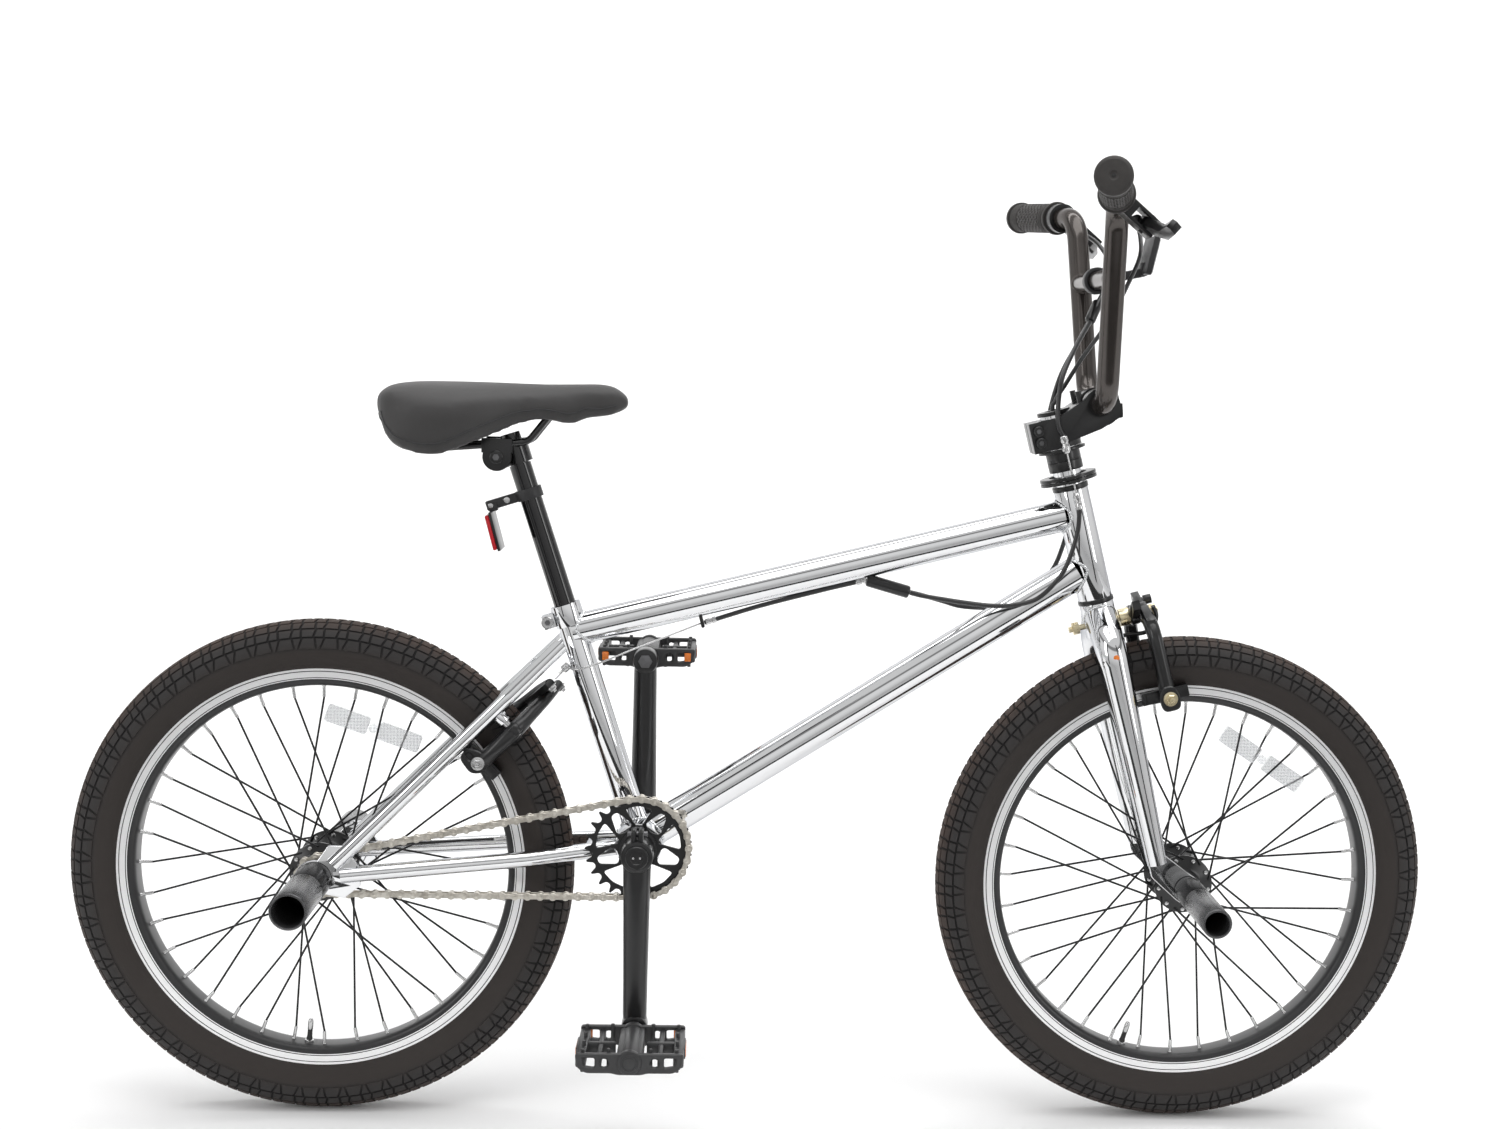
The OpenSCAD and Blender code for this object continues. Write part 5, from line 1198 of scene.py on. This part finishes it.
def inflate(obj, voxel, pressure, cap, hold_below):
    """Remeshes a padded piece and lets its cover swell a little against the underside, which is held."""
    bpy.context.view_layer.objects.active = obj
    mesh = obj.data
    bm = bmesh.new()
    bm.from_mesh(mesh)
    bmesh.ops.remove_doubles(bm, verts=bm.verts, dist=1e-5)
    bmesh.ops.recalc_face_normals(bm, faces=bm.faces)
    bm.to_mesh(mesh)
    bm.free()
    remesh = obj.modifiers.new("remesh", "REMESH")
    remesh.mode = "VOXEL"
    remesh.voxel_size = voxel
    apply_modifiers(obj)
    smooth = obj.modifiers.new("relax", "SMOOTH")
    smooth.factor = 0.5
    smooth.iterations = 6
    apply_modifiers(obj)
    rest = np.array([v.co[:] for v in obj.data.vertices])
    group = obj.vertex_groups.new(name="held")
    for i, p in enumerate(rest):
        if hold_below(p):
            group.add([i], 1.0, "REPLACE")
    cloth = obj.modifiers.new("cloth", "CLOTH")
    cloth.settings.use_pressure = True
    cloth.settings.uniform_pressure_force = pressure
    cloth.settings.tension_stiffness = 20
    cloth.settings.compression_stiffness = 20
    cloth.settings.vertex_group_mass = "held"
    cloth.settings.effector_weights.gravity = 0
    cloth.settings.quality = 5
    cloth.collision_settings.use_collision = False
    cloth.point_cache.frame_start = 1
    cloth.point_cache.frame_end = 20
    scene = bpy.context.scene
    for f in range(1, 21):
        scene.frame_set(f)
    apply_modifiers(obj)
    scene.frame_set(1)
    now = np.array([v.co[:] for v in obj.data.vertices])
    move = now - rest
    size = np.linalg.norm(move, axis=1)
    move *= np.minimum(1, cap / np.maximum(size, 1e-9))[:, None]
    obj.data.vertices.foreach_set("co", (rest + move).astype(np.float32).ravel())
    obj.vertex_groups.clear()
    sub = obj.modifiers.new("smooth", "SUBSURF")
    sub.levels = sub.render_levels = 1
    apply_modifiers(obj)
    obj.data.shade_smooth()


def apply_modifiers(obj):
    deps = bpy.context.evaluated_depsgraph_get()
    mesh = bpy.data.meshes.new_from_object(obj.evaluated_get(deps))
    materials = list(obj.data.materials)
    obj.modifiers.clear()
    old = obj.data
    obj.data = mesh
    mesh.name = old.name
    mesh.materials.clear()
    for m in materials:
        mesh.materials.append(m)
    bpy.data.meshes.remove(old)


inflate(seat, 0.0045, 4.0, 0.0035, lambda p: p[2] < 0.7 or abs(p[1]) < 0.02 and p[2] < 0.728)

tree = BVHTree.FromObject(seat, bpy.context.evaluated_depsgraph_get())


def on_saddle(point, lift):
    place, normal, _, _ = tree.find_nearest(Vector(point) * MM)
    return (np.array(place) + np.array(normal) * lift * MM) / MM


seams = []
for s in (-1, 1):
    side_line = [on_saddle((x, s * (curve(WIDTH, x) + 6), curve(BOTTOM, x) + 7 + 5 * math.sin((x + 386) / 246 * math.pi)), 0.15)
                 for x in np.linspace(-380, -146, 60)]
    seams.append(sweep(side_line, 0.75, 8))
rear_line = [on_saddle((-400, y, 704 + 6 * math.cos(y / 50 * 1.3)), 0.15) for y in np.linspace(-50, 50, 34)]
seams.append(sweep(rear_line, 0.75, 8))
piece("saddle_seams", "saddle", [(joined(seams), STITCH)], replaces=False)

# ---------------------------------------------------------------- reflectors
band = post(371)
post_axes = np.array([[math.cos(LEAN), 0, math.sin(LEAN)], [0, 1, 0], POST_AXIS])
lens_axes = np.array([[math.cos(math.radians(15)), 0, math.sin(math.radians(15))], [0, 1, 0],
                      [-math.sin(math.radians(15)), 0, math.cos(math.radians(15))]])
piece("rear_reflector_lamp", "rear_reflector", [
    (sleeve(band - POST_AXIS * 5.5, band + POST_AXIS * 5.5, 13.4, 11.15, 0.6), PLASTIC),
    (block(band - post_axes[0] * 28, (34, 7, 10), post_axes, 1.4), PLASTIC),
    (block((-268.5, 0, 601), (3, 44, 40), lens_axes, 1.0), SATIN),
    (block((-272, 0, 624), (9, 9, 8), lens_axes, 1.2), PLASTIC),
    (block((-272, 0, 600), (4, 46, 36), lens_axes, 1.4), RED_LENS),
    (rod(band + vec(-22, -3.2, -7), band + vec(-22, -5.4, -7), 3.2), STEEL),
    (rod(band + vec(-38, -3.2, -13), band + vec(-38, -5.4, -13), 2.6), STEEL),
])
front_tilt = np.array([[math.cos(math.radians(12)), 0, -math.sin(math.radians(12))], [0, 1, 0],
                       [math.sin(math.radians(12)), 0, math.cos(math.radians(12))]])
arm_tilt = np.array([[math.cos(math.radians(12)), 0, math.sin(math.radians(12))], [0, 1, 0],
                     [-math.sin(math.radians(12)), 0, math.cos(math.radians(12))]])
cx, cz = CROSS[0], CROSS[2]
piece("front_reflector_lamp", "front_reflector", [
    (sleeve((cx, -7, cz), (cx, 7, cz), 13.5, 9.5, 1.0), PLASTIC),
    (block((cx + 29, 0, cz + 6), (40, 7, 9), arm_tilt, 1.4), PLASTIC),
    (block((cx + 51.6, 0, cz + 26), (6.4, 52, 39), front_tilt, 1.6), PLASTIC),
    (block((cx + 47, 0, cz + 13), (7, 12, 14), None, 1.4), PLASTIC),
    (block((cx + 54.6, 0, cz + 25.4), (2.2, 47, 34), front_tilt, 0.8), WHITE_LENS),
    (rod((cx + 18, -3.4, cz + 3.6), (cx + 18, -6, cz + 3.6), 3.0), DARK_STEEL),
])

# ---------------------------------------------------------------- drive
PITCH = 12.7
RING_R, COG_R = PITCH / (2 * math.sin(math.pi / 25)), PITCH / (2 * math.sin(math.pi / 9))
REACH = 322.2
tilt_run = math.asin((RING_R - COG_R) / REACH)
ring_wrap = (math.pi + 2 * tilt_run) / (2 * math.pi / 25)
cog_wrap = (math.pi - 2 * tilt_run) / (2 * math.pi / 9)
run_count = (68 - ring_wrap - cog_wrap) / 2
axle_line = math.atan2(AXLE_Z - BB[2], REAR_X - BB[0])
upper_a = axle_line - math.pi / 2 + tilt_run
lower_a = axle_line + math.pi / 2 - tilt_run - 2 * math.pi
REAR = vec(REAR_X, 0, AXLE_Z)


def on_circle(c, r, a):
    return vec(c[0] + r * math.cos(a), 0, c[2] + r * math.sin(a))


def chain_pin(k):
    if k < ring_wrap:
        return on_circle(BB, RING_R, upper_a - k * 2 * math.pi / 25)
    if k < ring_wrap + run_count:
        t = (k - ring_wrap) / run_count
        return on_circle(BB, RING_R, lower_a) * (1 - t) + on_circle(REAR, COG_R, lower_a) * t
    if k < ring_wrap + run_count + cog_wrap:
        return on_circle(REAR, COG_R, lower_a - (k - ring_wrap - run_count) * 2 * math.pi / 9)
    t = (k - ring_wrap - run_count - cog_wrap) / run_count
    return on_circle(REAR, COG_R, upper_a) * (1 - t) + on_circle(BB, RING_R, upper_a) * t


def link_outline():
    arc = math.radians(139.5)
    right = [(12.7 + 4 * math.cos(a), 4 * math.sin(a)) for a in np.linspace(-arc, arc, 13)]
    left = [(-4 * math.cos(a), 4 * math.sin(a)) for a in np.linspace(arc, -arc, 13)]
    return np.array(right + left)


links = []
outline = link_outline()
for k in range(68):
    p, q = chain_pin(k), chain_pin((k + 1) % 68)
    d = unit(q - p)
    axes = np.array([d, [-d[2], 0, d[0]], [0, -1, 0]])
    origin = vec(p[0], -43, p[2])
    levels = ((2.4, 3.4), (-3.4, -2.4)) if k % 2 == 0 else ((3.5, 4.5), (-4.5, -3.5))
    for low, high in levels:
        links.append(plate(outline, [], low, high, origin, axes, 0.3))
    for pin in (p, q) if k % 2 else ():
        links.append(rod(vec(pin[0], -48.1, pin[2]), vec(pin[0], -37.9, pin[2]), 1.9, 0.5, 14))
    if k % 2 == 0:
        for pin in (p, q):
            links.append(rod(vec(pin[0], -45.2, pin[2]), vec(pin[0], -40.8, pin[2]), 3.85, 0.3, 20))
piece("chain_links", "chain", [(joined(links), CHAIN)])


def teeth(count, pitch_r, phase):
    out = []
    for k in range(count):
        a = phase + k * 2 * math.pi / count
        c = np.array([math.cos(a), math.sin(a)])
        s = np.array([-c[1], c[0]])
        for t in np.linspace(-78, 78, 7):
            t = math.radians(t)
            out.append(c * (pitch_r - 4 * math.cos(t)) + s * 4 * math.sin(t))
        b = a + math.pi / count
        for w in (-0.9, 0.9):
            tip = np.array([math.cos(b), math.sin(b)]) * (pitch_r + 3.3)
            out.append(tip + np.array([-math.sin(b), math.cos(b)]) * w)
    return np.array(out)


ring_axes = np.array([[1, 0, 0], [0, 0, 1], [0, -1, 0]])
windows = []


def turned(poly, a):
    c, s = math.cos(a), math.sin(a)
    return [(x * c - y * s, x * s + y * c) for x, y in poly]


for k in range(5):
    a = math.radians(18 + 72 * k)
    windows.append(soften(turned([(21, -1.5), (40.5, -14), (43.4, 0), (40.5, 14), (21, 1.5)], a), 4))
    windows.append(soften(turned([(42.6, 3.6), (42.6, -3.6), (24, -9.5), (20, 0), (24, 9.5)], a + math.radians(36)), 4))
piece("chainring_disc", "chainring", [
    (plate(teeth(25, RING_R, upper_a), windows, 0, 2.2, vec(BB[0], -41.9, BB[2]), ring_axes, 0.45), SATIN),
    (sleeve(vec(BB[0], -39, BB[2]), vec(BB[0], -54.8, BB[2]), 15, 9.6, 0.8), SATIN),
    (sleeve(vec(BB[0], -44, BB[2]), vec(BB[0], -45.4, BB[2]), 18.6, 14, 0.5), SATIN),
])
cog_phase = lower_a - (math.ceil(ring_wrap + run_count) - ring_wrap - run_count) * 2 * math.pi / 9
piece("rear_cog_disc", "rear_cog", [
    (plate(teeth(9, COG_R, cog_phase), [circle((0, 0), 11.1)], 0, 2.2, vec(REAR_X, -41.9, AXLE_Z), ring_axes, 0.4), DARK_STEEL),
    (sleeve(vec(REAR_X, -39, AXLE_Z), vec(REAR_X, -47.8, AXLE_Z), 13.5, 11.1, 0.8), DARK_STEEL),
])
spindle_parts = [(rod(BB - vec(0, 86, 0), BB + vec(0, 86, 0), 9.5, 0.8), DARK_STEEL)]
for s in (-1, 1):
    cap = BB + vec(0, s * 86, 0)
    spindle_parts.append((lathe([(11.5, 0), (11.5, 1.2), (10.6, 2), (6.8, 2), (6.2, 1.4), (0.4, 1.3)], cap, (0, s, 0), 48), SATIN))
    for w in (-1, 1):
        spindle_parts.append((rod(cap + vec(w * 3.4, s * 0.8, 0), cap + vec(w * 3.4, s * 1.62, 0), 1.1, 0.1, 14), STEEL))
piece("bracket_spindle", "crank_spindle", spindle_parts)


def crank(sign, side):
    """sign +1 points up, -1 down; side is +1 on the left."""
    up = vec(0, 0, sign)
    hub_c, eye = BB + vec(0, side * 72, 0), BB + vec(0, side * 72, 0) + up * 175
    out = [
        (sleeve(hub_c - vec(0, 14, 0), hub_c + vec(0, 14, 0), 16, 9.6, 1.6, 72), SATIN),
        (lathe([(13.6, 0), (13.9, 2), (13.4, 30), (12.3, 110), (12, 150), (11.8, 157)], hub_c + up * 10, up, 56), SATIN),
        (rod(eye - vec(0, 12, 0), eye + vec(0, 12, 0), 13, 1.8, 56), SATIN),
        (lathe([(7.6, 0), (7.4, 0.7), (6.6, 0.9)], eye - vec(0, side * 12, 0), (0, -side, 0), 6), DARK_STEEL),
        (rod(eye, eye + vec(0, side * 112, 0), 6, 0.6), DARK_STEEL),
        (lathe([(8.6, 0), (8.6, 4), (7, 4.6)], eye + vec(0, side * 12.4, 0), (0, side, 0), 6), DARK_STEEL),
        (rod(vec(BB[0] - 10, side * 72, BB[2] - sign * 21), vec(BB[0] + 10, side * 72, BB[2] - sign * 21), 3.2), DARK_STEEL),
    ]
    for w in (-1, 1):
        out.append((block(hub_c - up * 18 + vec(w * 3.6, 0, 0), (5.2, 24, 16), None, 1.6), SATIN))
    return out


piece("crank_arm_pair", "crank_arms", crank(1, 1) + crank(-1, -1))


def pedal(name, like, side, height):
    """A moulded cage: deep end plates, two bars, a wide spine round the axle, cross ribs, grip pins, reflectors."""
    mid = BB + vec(0, side * 142.5, height)
    end_axes = np.array([[1, 0, 0], [0, 0, 1], [0, -1, 0]])
    end = soften([(-50, -5), (-42, -10.5), (-17, -10.5), (-11, -12.2), (11, -12.2), (17, -10.5), (42, -10.5),
                  (50, -5), (52, 9), (-52, 9)], 4)
    holes = [circle((sx * 24, -0.5), 4.2, 20) for sx in (-1, 1)]
    holes += [soften([(sx * 33, -5), (sx * 43, -3.5), (sx * 45, 4.5), (sx * 33, 4.5)][::sx], 2) for sx in (-1, 1)]
    parts = []
    for w in (-1, 1):
        at_y = mid + vec(0, w * 45.5 - 3 * w, 0)
        axes = end_axes if w < 0 else end_axes * np.array([[1], [1], [-1]])
        parts.append((plate(end, holes, 0, 5, at_y - vec(0, w * 2, 0), axes, 1.0), PEDAL))
        parts.append((rod(at_y - vec(0, w * 4, 0), at_y + vec(0, w * 4.4, 0), 11.8, 1.6), PEDAL))
        if w == side:
            parts.append((lathe([(8.6, 4.2), (8.2, 4.9), (6.6, 4.9), (6.2, 4.3), (0.4, 4.3)], at_y, (0, w, 0), 40), PLASTIC))
    for sx in (-1, 1):
        parts.append((block(mid + vec(sx * 46.5, 0, 0), (10, 84, 13), None, 2.2), PEDAL))
        parts.append((block(mid + vec(sx * 30, 0, 0), (30, 7, 12), None, 1.6), PEDAL))
        parts.append((block(mid + vec(sx * 29, 0, 0), (5, 84, 10), None, 1.4), PEDAL))
        parts.append((block(mid + vec(sx * 51.6, 0, 0), (2.2, 34, 10.5), None, 0.8), PEDAL))
        parts.append((block(mid + vec(sx * 52.4, 0, 0), (1.6, 30, 7.5), None, 0.5), ORANGE))
        parts.append((block(mid + vec(sx * 43.5, -side * 44.6, 0), (7, 5, 9), None, 1.0), ORANGE))
        for y in (-38, -13, 13, 38):
            parts.append((rod(mid + vec(sx * 45, y, -11.2), mid + vec(sx * 45, y, 11.2), 1.9, 0.5, 14), PEDAL))
        for y in (-38, 38):
            parts.append((rod(mid + vec(sx * 20, y, -11.8), mid + vec(sx * 20, y, 11.8), 1.9, 0.5, 14), PEDAL))
    parts.append((block(mid, (25, 86, 15), None, 3), PEDAL))
    parts.append((rod(mid - vec(0, 44, 0), mid + vec(0, 44, 0), 10.2, 1.0), PEDAL))
    piece(name, like, parts)


pedal("pedal_left_cage", "pedal_left", 1, 175)
pedal("pedal_right_cage", "pedal_right", -1, -175)

# ---------------------------------------------------------------- studio
floor_mat, nodes, links_, shader = new_material("studio_paper")
shader.inputs["Base Color"].default_value = (0.93, 0.93, 0.93, 1)
shader.inputs["Roughness"].default_value = 0.95
shader.inputs["Specular IOR Level"].default_value = 0.05
depth, rise = [], []
sweep_profile = [(y, 0) for y in np.linspace(-3.2, 2.6, 12)] + [
    (2.6 + 1.6 * math.sin(a), 1.6 - 1.6 * math.cos(a)) for a in np.linspace(0.1, math.pi / 2, 16)
] + [(4.2, 5.0)]
verts, quads = [], []
for x in (-7, 7):
    for y, z in sweep_profile:
        verts.append((x, y, z))
n = len(sweep_profile)
for i in range(n - 1):
    quads.append((i, i + 1, n + i + 1, n + i))
paper_mesh = bpy.data.meshes.new("studio_paper")
paper_mesh.from_pydata(verts, [], quads)
paper_mesh.materials.append(floor_mat)
paper_mesh.shade_smooth()
paper = bpy.data.objects.new("studio_paper", paper_mesh)
bpy.context.scene.collection.objects.link(paper)


def card(name, centre, size, colour, turn):
    m, nodes, links_, shader = new_material(name)
    shader.inputs["Base Color"].default_value = (colour, colour, colour, 1)
    shader.inputs["Roughness"].default_value = 0.9
    mesh = bpy.data.meshes.new(name)
    w, h = size[0] / 2, size[1] / 2
    mesh.from_pydata([(-w, 0, -h), (w, 0, -h), (w, 0, h), (-w, 0, h)], [], [(0, 1, 2, 3)])
    mesh.materials.append(m)
    obj = bpy.data.objects.new(name, mesh)
    obj.location = centre
    obj.rotation_euler = turn
    bpy.context.scene.collection.objects.link(obj)
    obj.visible_camera = False
    obj.visible_shadow = False


def lamp(name, place, target, size, power):
    data = bpy.data.lights.new(name, "AREA")
    data.shape = "RECTANGLE"
    data.size, data.size_y = size
    data.energy = power
    obj = bpy.data.objects.new(name, data)
    obj.location = place
    obj.rotation_euler = (Vector(target) - Vector(place)).to_track_quat("-Z", "Y").to_euler()
    bpy.context.scene.collection.objects.link(obj)
    return obj


# cards that only show as bands in the chrome
card("floor_grey", (0, -2.2, 0.002), (7.0, 1.92), 0.42, (math.pi / 2, 0, 0))
card("floor_flag", (0, -1.02, 0.002), (4.0, 0.44), 0.004, (math.pi / 2, 0, 0))
card("left_flag", (-1.2, -1.72, 1.0), (0.24, 2.4), 0.015, (0, 0, math.radians(-35)))
card("right_flag", (1.3, -1.66, 1.0), (0.24, 2.4), 0.015, (0, 0, math.radians(38)))
lamp("top_light", (0.3, -0.6, 3.4), (0, 0, 0.3), (3.6, 2.2), 58)
lamp("left_light", (-3.0, -2.4, 1.9), (0, 0, 0.5), (0.9, 2.4), 24)
lamp("right_light", (3.2, -2.2, 1.5), (0, 0, 0.5), (0.7, 2.2), 16)
lamp("paper_light", (0, 1.4, 3.6), (0, 4.0, 1.2), (5, 1.2), 95)

world = bpy.data.worlds.new("studio")
bpy.context.scene.world = world
world.use_nodes = True
wn, wl = world.node_tree.nodes, world.node_tree.links
sky = wn["Background"]
at = wn.new("ShaderNodeTexCoord")
split = wn.new("ShaderNodeSeparateXYZ")
wl.new(at.outputs["Generated"], split.inputs["Vector"])
lift = wn.new("ShaderNodeMapRange")
lift.inputs["From Min"].default_value = -1
lift.inputs["From Max"].default_value = 1
wl.new(split.outputs["Z"], lift.inputs["Value"])
ramp = wn.new("ShaderNodeValToRGB")
stops = [(0.0, 0.6), (0.27, 0.55), (0.34, 0.42), (0.42, 0.6), (0.48, 0.74), (0.56, 0.92), (0.64, 1.0), (0.72, 0.95),
         (0.745, 0.3), (0.79, 0.3), (0.81, 0.85), (1.0, 0.85)]
for i, (at_, value) in enumerate(stops):
    if i < 2:
        element = ramp.color_ramp.elements[i]
        element.position = at_
    else:
        element = ramp.color_ramp.elements.new(at_)
    element.color = (value, value, value, 1)
wl.new(lift.outputs["Result"], ramp.inputs["Fac"])
wl.new(ramp.outputs["Color"], sky.inputs["Color"])
sky.inputs["Strength"].default_value = 0.78
bpy.context.scene.view_settings.view_transform = "Standard"
